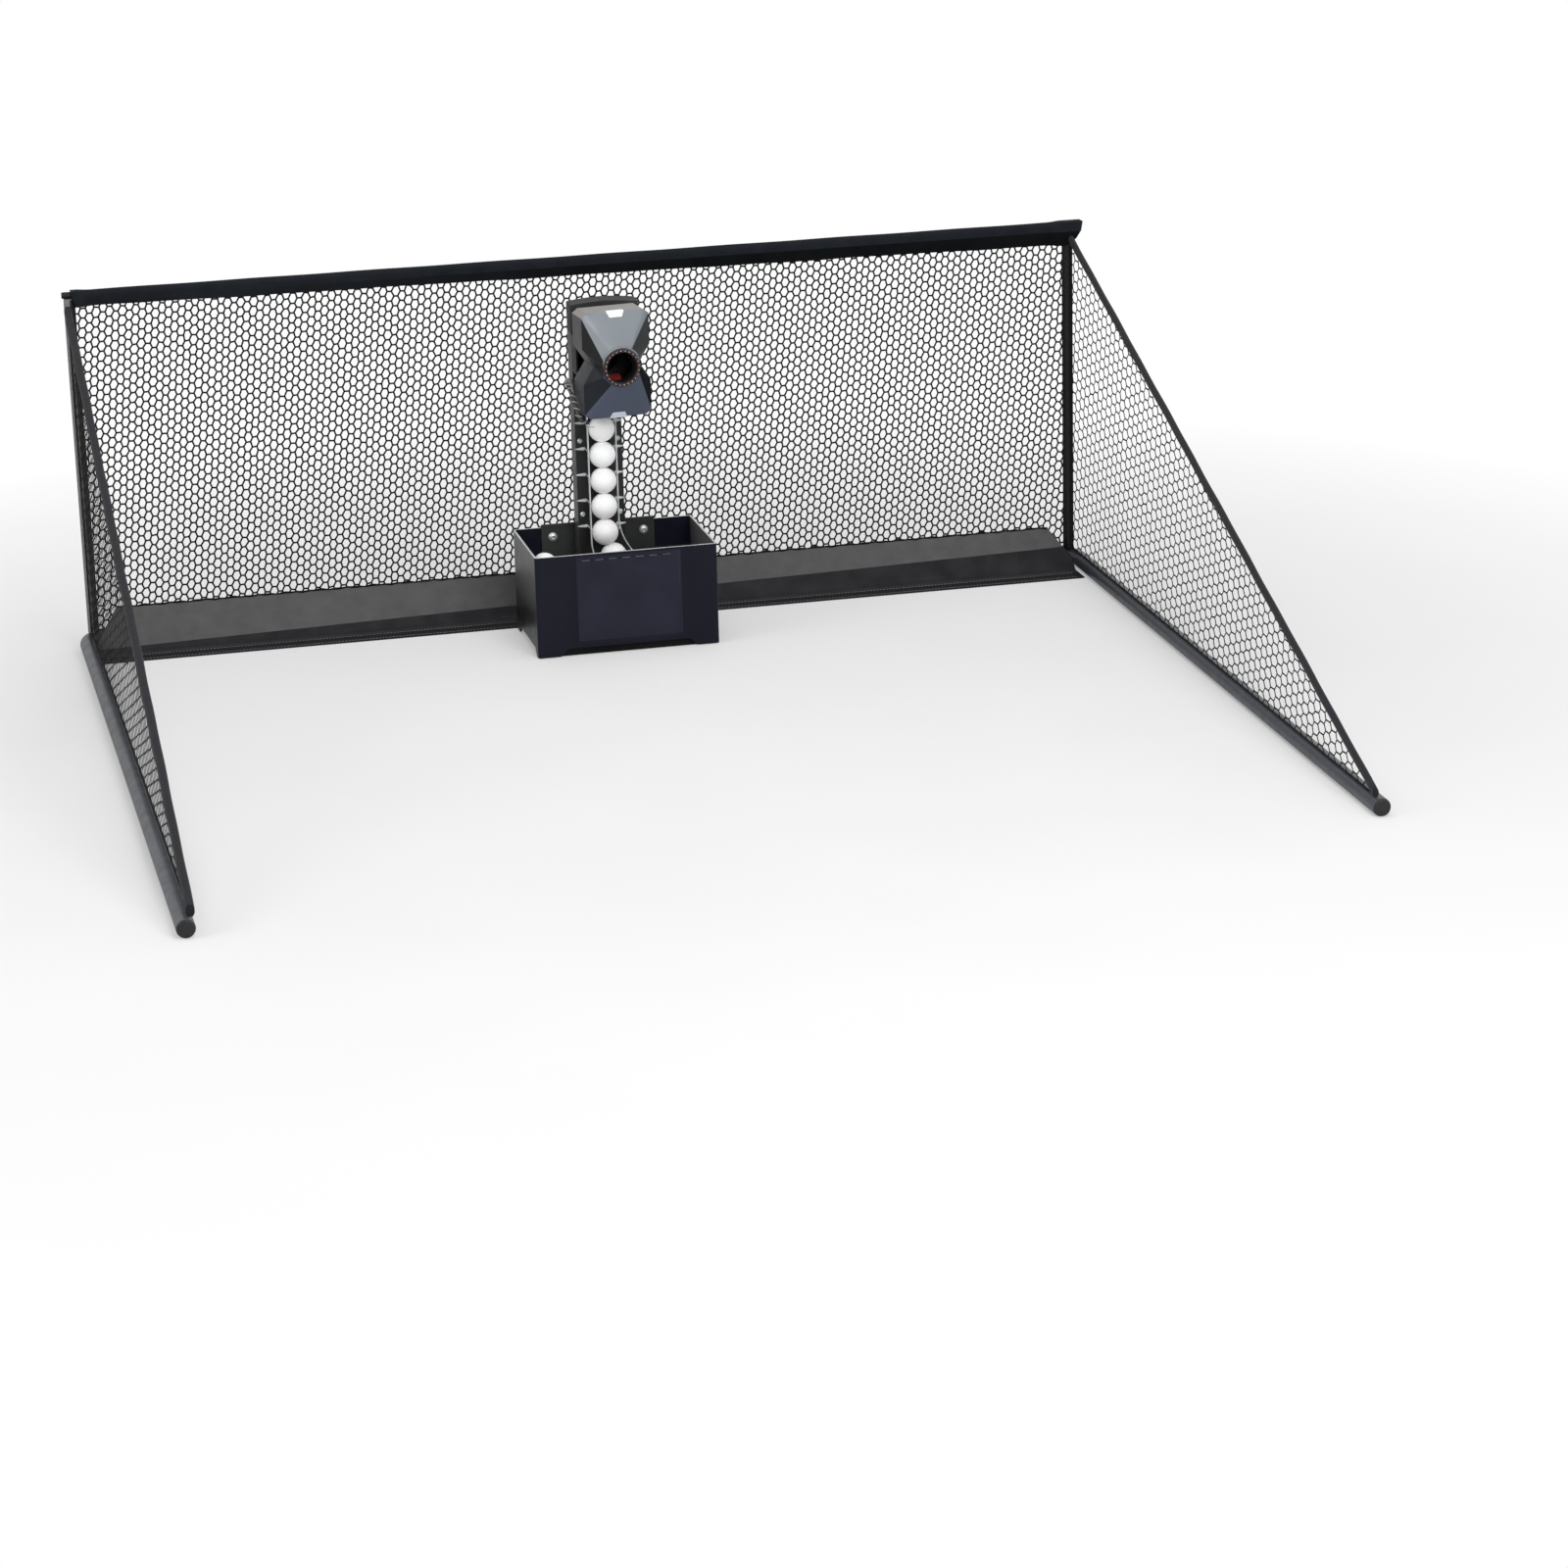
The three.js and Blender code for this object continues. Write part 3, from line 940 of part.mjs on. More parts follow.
/** One throwing wheel: the motor in its cradle, the hub with its shaft, and the tyre. */
function buildWheel(group, name, side) {
  const place = [0, -WHEEL_REACH, side * WHEEL_RISE];
  const mirror = (profile) => profile.map(([radius, along]) => [radius, side * along]);
  const far = MOTOR_NEAR_X + MOTOR_LENGTH;
  const bore = HUB_SHAFT_RADIUS + SEAT_GAP;
  const motor = turned(mirror([[bore, MOTOR_NEAR_X], [MOTOR_RADIUS, MOTOR_NEAR_X],
    [MOTOR_RADIUS, far - MOTOR_BEVEL], [MOTOR_RADIUS - MOTOR_BEVEL, far], [0, far],
    [0, MOTOR_NEAR_X + MOTOR_BORE_DEPTH], [bore, MOTOR_NEAR_X + MOTOR_BORE_DEPTH]]), 'x');
  addPiece(group, `${name}_motor`, motor, finishes.motor(), place);
  const [rim, web] = [HUB_RADIUS - HUB_RIM, HUB_WEB / 2];
  const hub = turned(mirror([[0, -HUB_HALF_WIDTH], [HUB_CORE, -HUB_HALF_WIDTH], [HUB_CORE, -web], [rim, -web],
    [rim, -HUB_HALF_WIDTH], [HUB_RADIUS, -HUB_HALF_WIDTH], [HUB_RADIUS, HUB_HALF_WIDTH],
    [rim, HUB_HALF_WIDTH], [rim, web], [HUB_CORE, web], [HUB_CORE, HUB_HALF_WIDTH],
    [HUB_SHAFT_RADIUS, HUB_HALF_WIDTH], [HUB_SHAFT_RADIUS, HUB_SHAFT_END], [0, HUB_SHAFT_END]]), 'x');
  addPiece(group, `${name}_hub`, hub, finishes.gear(), place);
  const tyre = turned([[TYRE_BORE, -TYRE_HALF_WIDTH], [TYRE_RADIUS, -TYRE_HALF_WIDTH],
    [TYRE_RADIUS - TYRE_HOLLOW, 0], [TYRE_RADIUS, TYRE_HALF_WIDTH], [TYRE_BORE, TYRE_HALF_WIDTH]], 'x');
  addPiece(group, `${name}_tyre`, tyre, finishes.tyre(), place);
}

/** The cable loom, from the tower's side to the back of the lower lobe. */
function buildLoom(group) {
  const route = new THREE.CatmullRomCurve3(LOOM_ROUTE.map((point) => new THREE.Vector3(...point)));
  addPiece(group, 'cable_loom', sweep(route.getSpacedPoints(LOOM_STEPS), LOOM_RADIUS, 0, LOOM_SIDES),
    finishes.net());
}

/** The floor frame: two side bars with round rear corners, and the rail between them. */
function buildFrame(group) {
  const bend = BAR_HALF_SPAN - CORNER_RADIUS;
  const bendY = RAIL_BEHIND_POSTS - CORNER_RADIUS;
  const railHalf = bend - CORNER_STUB;
  for (const [side, name] of [[-1, 'left'], [1, 'right']]) {
    const stations = [new THREE.Vector3(side * BAR_HALF_SPAN, -BAR_FRONT_FROM_POSTS, BAR_RADIUS),
      ...arc(0, 0, CORNER_RADIUS, 0, Math.PI / 2, ARC_STEPS)
        .map((p) => new THREE.Vector3(side * (bend + p.x), bendY + p.y, BAR_RADIUS)),
      new THREE.Vector3(side * railHalf, RAIL_BEHIND_POSTS, BAR_RADIUS)];
    addPiece(group, `side_bar_${name}`, sweep(stations, BAR_RADIUS, 0, SMALL_SIDES), finishes.frame());
    addPiece(group, `post_${name}`, rod(POST_RADIUS, 2 * BAR_RADIUS + SEAT_GAP,
      TOP_BAR_Z - TOP_BAR_RADIUS - SEAT_GAP, 'z', 0, 0, SMALL_SIDES), finishes.net(), [side * postX, 0, 0]);
  }
  addPiece(group, 'rear_rail', rod(BAR_RADIUS, SEAT_GAP - railHalf, railHalf - SEAT_GAP, 'x',
    RAIL_BEHIND_POSTS, BAR_RADIUS, SMALL_SIDES), finishes.frame());
  addPiece(group, 'top_bar', rod(TOP_BAR_RADIUS, -BAR_HALF_SPAN, BAR_HALF_SPAN, 'x', 0, TOP_BAR_Z,
    SMALL_SIDES), finishes.frame());
}

/** The sleeve of the net, wrapped round the top bar, with slanted ends. */
function buildSleeve(group) {
  const outer = TOP_BAR_RADIUS + SEAT_GAP + SLEEVE_WALL;
  const half = postX - POST_RADIUS - SEAT_GAP;
  const hem = NET_THICKNESS / 2;
  const section = [...arc(0, TOP_BAR_Z, outer, 0, Math.PI, 2 * ARC_STEPS),
    new THREE.Vector2(-hem, sleeveBottom), new THREE.Vector2(hem, sleeveBottom)];
  const passage = circle(0, TOP_BAR_Z, TOP_BAR_RADIUS + SEAT_GAP, SMALL_SIDES);
  let sleeve = prism(section, -half, half, 'x', [passage]);
  for (const side of [-1, 1]) {
    const wedge = [[half - SLEEVE_SLANT, sleeveBottom - CUT_OVERRUN], [half + CUT_OVERRUN,
      sleeveBottom - CUT_OVERRUN], [half + CUT_OVERRUN, TOP_BAR_Z + outer + CUT_OVERRUN]]
      .map(([u, v]) => new THREE.Vector2(side * u, v));
    sleeve = sleeve.subtract(prism(side > 0 ? wedge : wedge.reverse(), -2 * outer, 2 * outer, 'y'));
  }
  addPiece(group, 'bar_sleeve', sleeve, finishes.net());
}

/** A net with hexagonal gaps in staggered columns. Those that reach the border are cut short there. */
function netSheet(outline, start, end, axis) {
  const bounds = new THREE.Box2().setFromPoints(outline);
  const middle = bounds.getCenter(new THREE.Vector2());
  const size = bounds.getSize(new THREE.Vector2());
  const width = NET_COLUMN_PITCH / HEX_SIDE_SHARE - NET_STRAND_WIDTH / 2;
  const height = (NET_ROW_PITCH - NET_STRAND_WIDTH) / 2;
  const columns = Math.ceil(size.x / NET_COLUMN_PITCH / 2);
  const rows = Math.ceil(size.y / NET_ROW_PITCH / 2);
  const inside = (p) => outline.every((from, i) => {
    const along = outline[(i + 1) % outline.length].clone().sub(from).normalize();
    return along.cross(p.clone().sub(from)) > NET_BORDER;
  });
  const gaps = [];
  for (let i = -columns; i <= columns; i += 1) {
    for (let j = -rows; j <= rows; j += 1) {
      const u = middle.x + i * NET_COLUMN_PITCH;
      const v = middle.y + (j + (i % 2 ? 1 / 2 : 0)) * NET_ROW_PITCH;
      const gap = [[1, 0], [1 / 2, 1], [-1 / 2, 1], [-1, 0], [-1 / 2, -1], [1 / 2, -1]]
        .map(([a, b]) => new THREE.Vector2(u + a * width, v + b * height));
      if (inside(new THREE.Vector2(u, v))) {
        gaps.push(prism(gap, start - CUT_OVERRUN, end + CUT_OVERRUN, axis));
      }
    }
  }
  const open = prism(inset(outline, NET_BORDER), start - CUT_OVERRUN, end + CUT_OVERRUN, axis);
  return prism(outline, start, end, axis).subtract(wasm.Manifold.union(gaps).intersect(open));
}

/** The nets: one between the posts, a triangle on each side, and the hem along each triangle's slope. */
function buildNets(group) {
  const half = postX - POST_RADIUS - SEAT_GAP;
  const thin = NET_THICKNESS / 2;
  const back = rectangle(-half, NET_BOTTOM_Z, half, sleeveBottom - SEAT_GAP);
  addPiece(group, 'back_net', netSheet(back, -thin, thin, 'y'), finishes.net());
  const rear = -POST_RADIUS - SEAT_GAP;
  const floor = 2 * BAR_RADIUS + SEAT_GAP;
  const front = HEM_FROM_BAR_FRONT - BAR_FRONT_FROM_POSTS;
  const at = (u, v) => new THREE.Vector2(u, v);
  for (const [side, name, width] of [[-1, 'left', HEM_WIDTH_LEFT], [1, 'right', HEM_WIDTH_RIGHT]]) {
    const hem = [at(front, floor), at(rear, hemTop - width), at(rear, hemTop), at(front, floor + width)];
    const net = [at(front, floor), at(rear, floor), at(rear, hemTop - width - SEAT_GAP)];
    const tip = box(side * netX - BAR_RADIUS, side * netX + BAR_RADIUS, front - CUT_OVERRUN,
      front + NET_TIP_CUT, 0, hemTop);
    addPiece(group, `hem_${name}`, prism(hem, side * netX - HEM_THICKNESS / 2,
      side * netX + HEM_THICKNESS / 2, 'x'), finishes.net());
    addPiece(group, `side_net_${name}`, netSheet(net, side * netX - thin, side * netX + thin, 'x')
      .subtract(tip), finishes.net());
  }
}

/** The ball tray: a flat lip against the hopper's rear, and a band that rises to the net. */
function buildTray(group) {
  const at = (u, v) => new THREE.Vector2(u, v);
  const lipFront = hopperRear + SEAT_GAP;
  const lipRear = lipFront + LIP_WIDTH;
  addPiece(group, 'tray_lip', box(-lipHalf, lipHalf, lipFront, lipRear, 0, LIP_THICKNESS),
    finishes.tray());
  const front = lipRear + SEAT_GAP;
  const rear = -TRAY_REAR_FROM_NET;
  const section = [at(front, 0), at(front + TRAY_FLOOR, 0), at(rear, TRAY_REAR_Z - TRAY_THICKNESS),
    at(rear, TRAY_REAR_Z), at(rear - TRAY_THICKNESS / 2, TRAY_REAR_Z), at(front + TRAY_FLOOR, TRAY_THICKNESS),
    at(front, TRAY_THICKNESS)];
  let tray = prism(section, -trayHalf - TRAY_SLANT, trayHalf + TRAY_SLANT, 'x');
  for (const side of [-1, 1]) {
    const wedge = [[trayHalf + TRAY_SLANT, 0], [trayHalf + TRAY_SLANT + CUT_OVERRUN, 0],
      [trayHalf + TRAY_SLANT + CUT_OVERRUN, TRAY_REAR_Z + CUT_OVERRUN],
      [trayHalf, TRAY_REAR_Z + CUT_OVERRUN]].map(([u, v]) => at(side * u, v));
    const end = side > 0 ? wedge : wedge.reverse();
    tray = tray.subtract(prism(end, front - CUT_OVERRUN, rear + CUT_OVERRUN, 'y'));
  }
  addPiece(group, 'tray', tray, finishes.tray());
}

const robot = new THREE.Group();
robot.position.y = frameShift;
for (const build of [buildHopper, buildFunnel, buildRearWall, buildFeed, buildGuide, buildBalls, buildTower,
  buildYawDrive, buildBlock, buildLoom, buildFrame, buildSleeve, buildNets, buildTray]) build(robot);

const head = new THREE.Group();
head.position.set(TOWER_X, guideY, HEAD_Z);
head.rotation.z = HEAD_YAW;
for (const build of [buildElbow, buildChassis, buildCowls, buildThroat]) build(head);
buildWheel(head, 'upper', 1);
buildWheel(head, 'lower', -1);
robot.add(head);

export default robot;
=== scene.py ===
"""Table tennis robot: hopper, tower with its clear ball guide, throwing head, and the catch net.

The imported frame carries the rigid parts. Nets, sleeve, tapes, tray cloth, loom, balls, guide and the fine
fittings are surfaces worked out here. Sizes are in millimetres and counted from the plane of the two net
posts, until shape_to_piece() puts a shape into the frame. Those axes are called the drawing below.
"""

import json
import math

import bmesh
import bpy
import numpy as np
from mathutils import Matrix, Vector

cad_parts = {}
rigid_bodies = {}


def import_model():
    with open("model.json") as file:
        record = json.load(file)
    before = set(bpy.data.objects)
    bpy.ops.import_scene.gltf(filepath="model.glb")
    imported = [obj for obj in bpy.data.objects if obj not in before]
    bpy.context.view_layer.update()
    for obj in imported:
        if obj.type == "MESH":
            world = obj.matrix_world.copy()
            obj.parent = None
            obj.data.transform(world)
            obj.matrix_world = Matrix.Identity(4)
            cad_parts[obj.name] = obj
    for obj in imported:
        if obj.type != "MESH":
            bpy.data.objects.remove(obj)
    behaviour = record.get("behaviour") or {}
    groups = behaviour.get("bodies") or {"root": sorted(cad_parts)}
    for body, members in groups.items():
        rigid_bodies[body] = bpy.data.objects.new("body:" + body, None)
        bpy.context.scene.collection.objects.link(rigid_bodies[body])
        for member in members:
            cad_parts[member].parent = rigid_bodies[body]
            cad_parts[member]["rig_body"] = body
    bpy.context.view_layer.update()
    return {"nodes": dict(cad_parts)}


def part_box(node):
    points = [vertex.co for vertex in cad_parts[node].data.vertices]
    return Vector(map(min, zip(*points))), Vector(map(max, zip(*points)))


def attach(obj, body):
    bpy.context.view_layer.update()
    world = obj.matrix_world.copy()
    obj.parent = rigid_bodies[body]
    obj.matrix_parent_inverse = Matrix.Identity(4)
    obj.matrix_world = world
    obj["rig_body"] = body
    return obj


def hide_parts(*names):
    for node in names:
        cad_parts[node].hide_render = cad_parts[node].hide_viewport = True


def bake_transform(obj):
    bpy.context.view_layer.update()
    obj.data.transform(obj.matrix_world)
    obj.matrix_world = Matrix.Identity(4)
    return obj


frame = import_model()

MM = 0.001
POST_PLANE = sum(corner.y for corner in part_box("post_left")) / 2 / MM
HOPPER_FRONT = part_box("hopper_shell")[0].y / MM
HOPPER_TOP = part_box("hopper_shell")[1].z / MM

# Tower and ball guide
TOWER_X = -8.0
TOWER_FRONT = -136.0
GUIDE_Y = -160.5
GUIDE_BORE = 20.8
GUIDE_OUTER = 22.3
BALL_RADIUS = 20.0

# Head, in its own axes: x across, y to the rear from the yaw axis, z up from the pitch axis
HEAD_AT = np.array([TOWER_X, GUIDE_Y, 434.0])
HEAD_YAW = math.radians(6.0)
HEAD_TURN = np.array([[math.cos(HEAD_YAW), -math.sin(HEAD_YAW), 0],
                      [math.sin(HEAD_YAW), math.cos(HEAD_YAW), 0], [0, 0, 1]])

# Net frame, tray and sleeve
BAR_X = 785.0
BAR_RADIUS = 12.5
BAR_FRONT = -1365.0
RAIL_Y = 20.0
CORNER_RADIUS = 45.0
POST_X = 774.0
NET_X = 778.0
TOP_BAR_Z = 545.0
HEM_FRONT, HEM_REAR, HEM_TOP, HEM_FOOT = -1355.0, -8.8, 530.0, 25.3
TRAY_HALF = 771.0
LIP_FRONT, LIP_REAR = -96.7, -66.7
SLEEVE_RADIUS = 6.7

# Camera, in metres and radians, and the point that the lamps look at
CAMERA_AT = (-1.238727, -5.898925, 1.841317)
CAMERA_YAW, CAMERA_PITCH, CAMERA_ROLL = -0.229906, 1.260032, -0.0255329
CAMERA_LENS = 101.748
LAMP_AIM = (0.0, 0.4, 0.25)

# Where X, Y and Z are found after a shape drawn along Z is turned to a named axis
ORDER = {"z": [0, 1, 2], "x": [2, 0, 1], "y": [1, 2, 0]}


# shapes


def grid_shape(grid, around=True, ends=True):
    """Skins a grid of points (rows, places, 3) with quads. around closes each row on itself, and ends fills
    the first and the last row with one face each."""
    rows, places = grid.shape[:2]
    index = np.arange(rows * places).reshape(rows, places)
    wide = np.concatenate([index, index[:, :1]], 1) if around else index
    faces = np.stack([wide[:-1, :-1], wide[1:, :-1], wide[1:, 1:], wide[:-1, 1:]], -1).reshape(-1, 4).tolist()
    if ends:
        faces += [index[0].tolist(), index[-1][::-1].tolist()]
    return grid.reshape(-1, 3), faces


def join(*shapes):
    """Puts several shapes into one, each with its faces counted on from the points before it."""
    points, faces, count = [], [], 0
    for some_points, some_faces in shapes:
        points.append(some_points)
        faces += [[corner + count for corner in face] for face in some_faces]
        count += len(some_points)
    return np.concatenate(points), faces


def moved(shape, offset):
    """The shape, carried by an offset."""
    return shape[0] + np.asarray(offset, float), shape[1]


def repeated(shape, offsets):
    """One copy of the shape at each offset, as one shape."""
    points, faces = shape
    offsets = np.asarray(offsets, float)
    counted = [[corner + k * len(points) for corner in face] for k in range(len(offsets)) for face in faces]
    return (points[None] + offsets[:, None]).reshape(-1, 3), counted


def turned(profile, sides, axis="z"):
    """Revolves (radius, height) pairs: x = r cos a, y = r sin a, z = h, then turned to the named axis.
    The profile runs from one end to the other, and both ends are closed by a face."""
    profile = np.asarray(profile, float)
    angle = np.arange(sides) * 2 * math.pi / sides
    ring = np.stack([np.cos(angle), np.sin(angle)], -1)
    grid = np.concatenate([profile[:, None, :1] * ring, np.repeat(profile[:, None, 1:], sides, 1)], -1)
    return grid_shape(grid[..., ORDER[axis]])


def unit(vectors):
    """The vectors at length one."""
    return vectors / np.linalg.norm(vectors, axis=-1, keepdims=True)


def left_of(vectors):
    """Flat vectors, turned a quarter turn counter-clockwise."""
    return np.stack([-vectors[..., 1], vectors[..., 0]], -1)


def frames_along(path, up):
    """Two unit vectors square to the path at each point: side = tangent x up, and over = side x tangent."""
    tangent = unit(np.gradient(path, axis=0))
    side = unit(np.cross(tangent, up))
    return side, np.cross(side, tangent)


def tube(path, radius, sides, up=(0, 0, 1)):
    """Carries a circle along a path: p + r (cos a side + sin a over). The radius may change on the way."""
    path = np.asarray(path, float)
    side, over = frames_along(path, np.asarray(up, float))
    radius = np.broadcast_to(np.asarray(radius, float), len(path))[:, None, None]
    angle = (np.arange(sides) * 2 * math.pi / sides)[:, None]
    circle = np.cos(angle) * side[:, None] + np.sin(angle) * over[:, None]
    return grid_shape(path[:, None] + radius * circle)


def inset(outlines, distance):
    """Moves the sides of counter-clockwise outlines inward: each corner slides along its mitre."""
    normal = left_of(unit(outlines - np.roll(outlines, 1, -2)))
    mitre = unit(normal + left_of(unit(np.roll(outlines, -1, -2) - outlines)))
    return outlines + mitre * (distance / (mitre * normal).sum(-1, keepdims=True))


def rectangle(low_u, low_v, high_u, high_v):
    """The corners of a rectangle, counter-clockwise."""
    return [[low_u, low_v], [high_u, low_v], [high_u, high_v], [low_u, high_v]]


def plate(outline, low, high, axis, bevel):
    """A flat plate with bevelled rims: the outline is inset by the bevel at both faces. The outline is
    counter-clockwise in the two axes that follow the named one, so in Z and X for a plate across Y."""
    outline = np.asarray(outline, float)
    small = inset(outline, bevel)
    rows = [(small, low), (outline, low + bevel), (outline, high - bevel), (small, high)]
    grid = np.stack([np.column_stack([flat, np.full(len(flat), place)]) for flat, place in rows])
    return grid_shape(grid[..., ORDER[axis]])


def smooth_path(points, count):
    """Catmull-Rom curve through the points, sampled evenly along its length."""
    points = np.asarray(points, float)
    full = np.concatenate([[2 * points[0] - points[1]], points, [2 * points[-1] - points[-2]]])
    share = np.linspace(0, len(points) - 1, 40 * len(points))
    low = np.minimum(share.astype(int), len(points) - 2)
    t = (share - low)[:, None]
    a, b, c, d = (full[low + k] for k in range(4))
    curve = 0.5 * (2 * b + (c - a) * t + (2 * a - 5 * b + 4 * c - d) * t**2 + (3 * b - a - 3 * c + d) * t**3)
    run = np.concatenate([[0], np.cumsum(np.linalg.norm(np.diff(curve, axis=0), axis=1))])
    wanted = np.linspace(0, run[-1], count)
    return np.stack([np.interp(wanted, run, curve[:, k]) for k in range(3)], -1)


def on_head(shape):
    """A shape that is drawn in the head's axes, turned by the head's yaw and put in its place."""
    return shape[0] @ HEAD_TURN.T + HEAD_AT, shape[1]


def shape_to_piece(name, shape, material, body="machine", *, replaces=(), sharp=35.0):
    """Makes a shape into a piece of the frame: welded, with faces that point out, shaded smooth up to the
    given angle between faces."""
    points = (shape[0] + np.array([0, POST_PLANE, 0])) * MM
    mesh = bpy.data.meshes.new(name)
    mesh.from_pydata(points.tolist(), [], shape[1])
    work = bmesh.new()
    work.from_mesh(mesh)
    bmesh.ops.remove_doubles(work, verts=work.verts, dist=1e-6)
    bmesh.ops.recalc_face_normals(work, faces=work.faces)
    shade(work, sharp)
    work.to_mesh(mesh)
    work.free()
    return hang(name, mesh, material, body, replaces)


def shade(work, sharp):
    """Smooth faces, with a sharp edge wherever two faces meet at more than the given angle."""
    for face in work.faces:
        face.smooth = True
    limit = math.radians(sharp)
    for edge in work.edges:
        edge.smooth = len(edge.link_faces) == 2 and edge.calc_face_angle(0) < limit


def placed(name, data):
    """A new object with this data, linked into the scene."""
    item = bpy.data.objects.new(name, data)
    bpy.context.scene.collection.objects.link(item)
    return item


def hang(name, mesh, material, body, replaces):
    """Gives a mesh its object, its material, the nodes that it stands for and the body that it
    rides on. A piece given no body rides on none."""
    piece = placed(name, mesh)
    mesh.materials.clear()
    mesh.materials.append(material)
    if body:
        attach(piece, body)
    if replaces:
        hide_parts(*replaces)
    return piece


def dress(node, material, edge, painted_light_finishes):
    """A copy of a rigid node with its flat faces made whole and its sharp edges rounded. It stands for
    the node and rides on the node's body. Each further finish paints light or shade on some faces, and
    comes with the test that picks them by their normals and their middles on the drawing."""
    source = frame["nodes"][node]
    mesh = source.data.copy()
    mesh.name = f"{node}_rounded"
    work = bmesh.new()
    work.from_mesh(mesh)
    bmesh.ops.remove_doubles(work, verts=work.verts, dist=2e-6)
    bmesh.ops.dissolve_limit(work, angle_limit=math.radians(0.4), verts=work.verts, edges=work.edges)
    corners = [e for e in work.edges if len(e.link_faces) == 2 and e.calc_face_angle(0) > math.radians(30)]
    bmesh.ops.bevel(work, geom=corners, offset=edge * MM, segments=2, profile=0.5, affect="EDGES",
                    clamp_overlap=True)
    shade(work, 40)
    work.to_mesh(mesh)
    work.free()
    piece = hang(mesh.name, mesh, material, source["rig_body"], [node])
    count = len(mesh.polygons)
    normal, middle = np.empty((count, 3)), np.empty((count, 3))
    mesh.polygons.foreach_get("normal", normal.ravel())
    mesh.polygons.foreach_get("center", middle.ravel())
    finish_number = np.zeros(count, dtype=np.int32)
    for number, (painted_light_finish, picks) in enumerate(painted_light_finishes, 1):
        mesh.materials.append(painted_light_finish)
        finish_number[picks(normal, middle / MM - [0, POST_PLANE, 0])] = number
    mesh.polygons.foreach_set("material_index", finish_number)
    piece.modifiers.new("weighted", "WEIGHTED_NORMAL").keep_sharp = True


# finishes


def screen(red, green, blue):
    """The scene colour of an 8-bit screen colour."""
    share = np.array([red, green, blue]) / 255
    linear = np.where(share <= 0.04045, share / 12.92, ((share + 0.055) / 1.055) ** 2.4)
    return (*linear.tolist(), 1.0)


def start_finish(name, specular, sockets):
    """A new material with its even values set on the shader's own sockets."""
    material = bpy.data.materials.new(name)
    material.use_nodes = True
    shader = material.node_tree.nodes["Principled BSDF"]
    for key, value in {"Specular_IOR_Level": specular, **sockets}.items():
        shader.inputs[key.replace("_", " ")].default_value = value
    return material, material.node_tree, shader


def feed(tree, socket, value):
    """Sets a socket to a number, or links another socket to it."""
    if isinstance(value, (int, float)):
        socket.default_value = value
    else:
        tree.links.new(value, socket)


def work_out(tree, operation, *values):
    """One step of arithmetic on numbers or sockets."""
    node = tree.nodes.new("ShaderNodeMath")
    node.operation = operation
    for socket, value in zip(node.inputs, values):
        feed(tree, socket, value)
    return node.outputs[0]


def place_of(tree, stretch=(1, 1, 1)):
    """Object coordinates, stretched along their axes."""
    source = tree.nodes.new("ShaderNodeTexCoord")
    mapping = tree.nodes.new("ShaderNodeMapping")
    mapping.inputs["Scale"].default_value = stretch
    tree.links.new(source.outputs["Object"], mapping.inputs["Vector"])
    return mapping.outputs["Vector"]


def axes_of(tree):
    """X, Y and Z of the object coordinates, in metres."""
    node = tree.nodes.new("ShaderNodeSeparateXYZ")
    tree.links.new(place_of(tree), node.inputs[0])
    return node.outputs


def noise(tree, vector, scale, detail=3.0):
    """Soft random value between about 0.3 and 0.7."""
    node = tree.nodes.new("ShaderNodeTexNoise")
    node.inputs["Scale"].default_value = scale
    node.inputs["Detail"].default_value = detail
    tree.links.new(vector, node.inputs["Vector"])
    return node.outputs["Fac"]


def ramp(tree, value, colours, places=(0.36, 0.64)):
    """Screen colours over a value, evenly mixed between the places."""
    node = tree.nodes.new("ShaderNodeValToRGB")
    stops = node.color_ramp.elements
    while len(stops) < len(colours):
        stops.new(0.5)
    for stop, colour, place in zip(stops, colours, places):
        stop.position = place
        stop.color = screen(*colour)
    tree.links.new(value, node.inputs["Fac"])
    return node.outputs["Color"]


def spread(tree, value, low, high, start=0.3, end=0.7):
    """Maps a value from one span to another."""
    node = tree.nodes.new("ShaderNodeMapRange")
    for socket, number in (("From Min", start), ("From Max", end), ("To Min", low), ("To Max", high)):
        node.inputs[socket].default_value = number
    tree.links.new(value, node.inputs["Value"])
    return node.outputs["Result"]


def bump(tree, height, depth, under=None):
    """The normal of a bump, its depth in thousandths of a millimetre. under is the normal of a coarser
    bump below it."""
    node = tree.nodes.new("ShaderNodeBump")
    node.inputs["Distance"].default_value = depth / 1e6
    tree.links.new(height, node.inputs["Height"])
    if under:
        tree.links.new(under, node.inputs["Normal"])
    return node.outputs["Normal"]


def connect(tree, shader, colour, roughness, normal):
    """Links what varies over the surface to the shader."""
    for socket, value in (("Base Color", colour), ("Roughness", roughness), ("Normal", normal)):
        tree.links.new(value, shader.inputs[socket])


def finish(name, colour, other, roughness=(0.35, 0.5), grain=900, depth=30, blotch=7.0, stretch=(1, 1, 1),
           specular=0.5, **sockets):
    """Painted, moulded or rolled surface: two near colours in broad patches, a roughness that follows
    finer scuffs, and a fine grain in relief."""
    material, tree, shader = start_finish(name, specular, sockets)
    place = place_of(tree, stretch)
    tone = ramp(tree, noise(tree, place_of(tree), blotch), [colour, other])
    scuff = noise(tree, place, blotch * 9, 6.0)
    relief = bump(tree, noise(tree, place, grain, 2.0), depth)
    connect(tree, shader, tone, spread(tree, scuff, *roughness), relief)
    return material


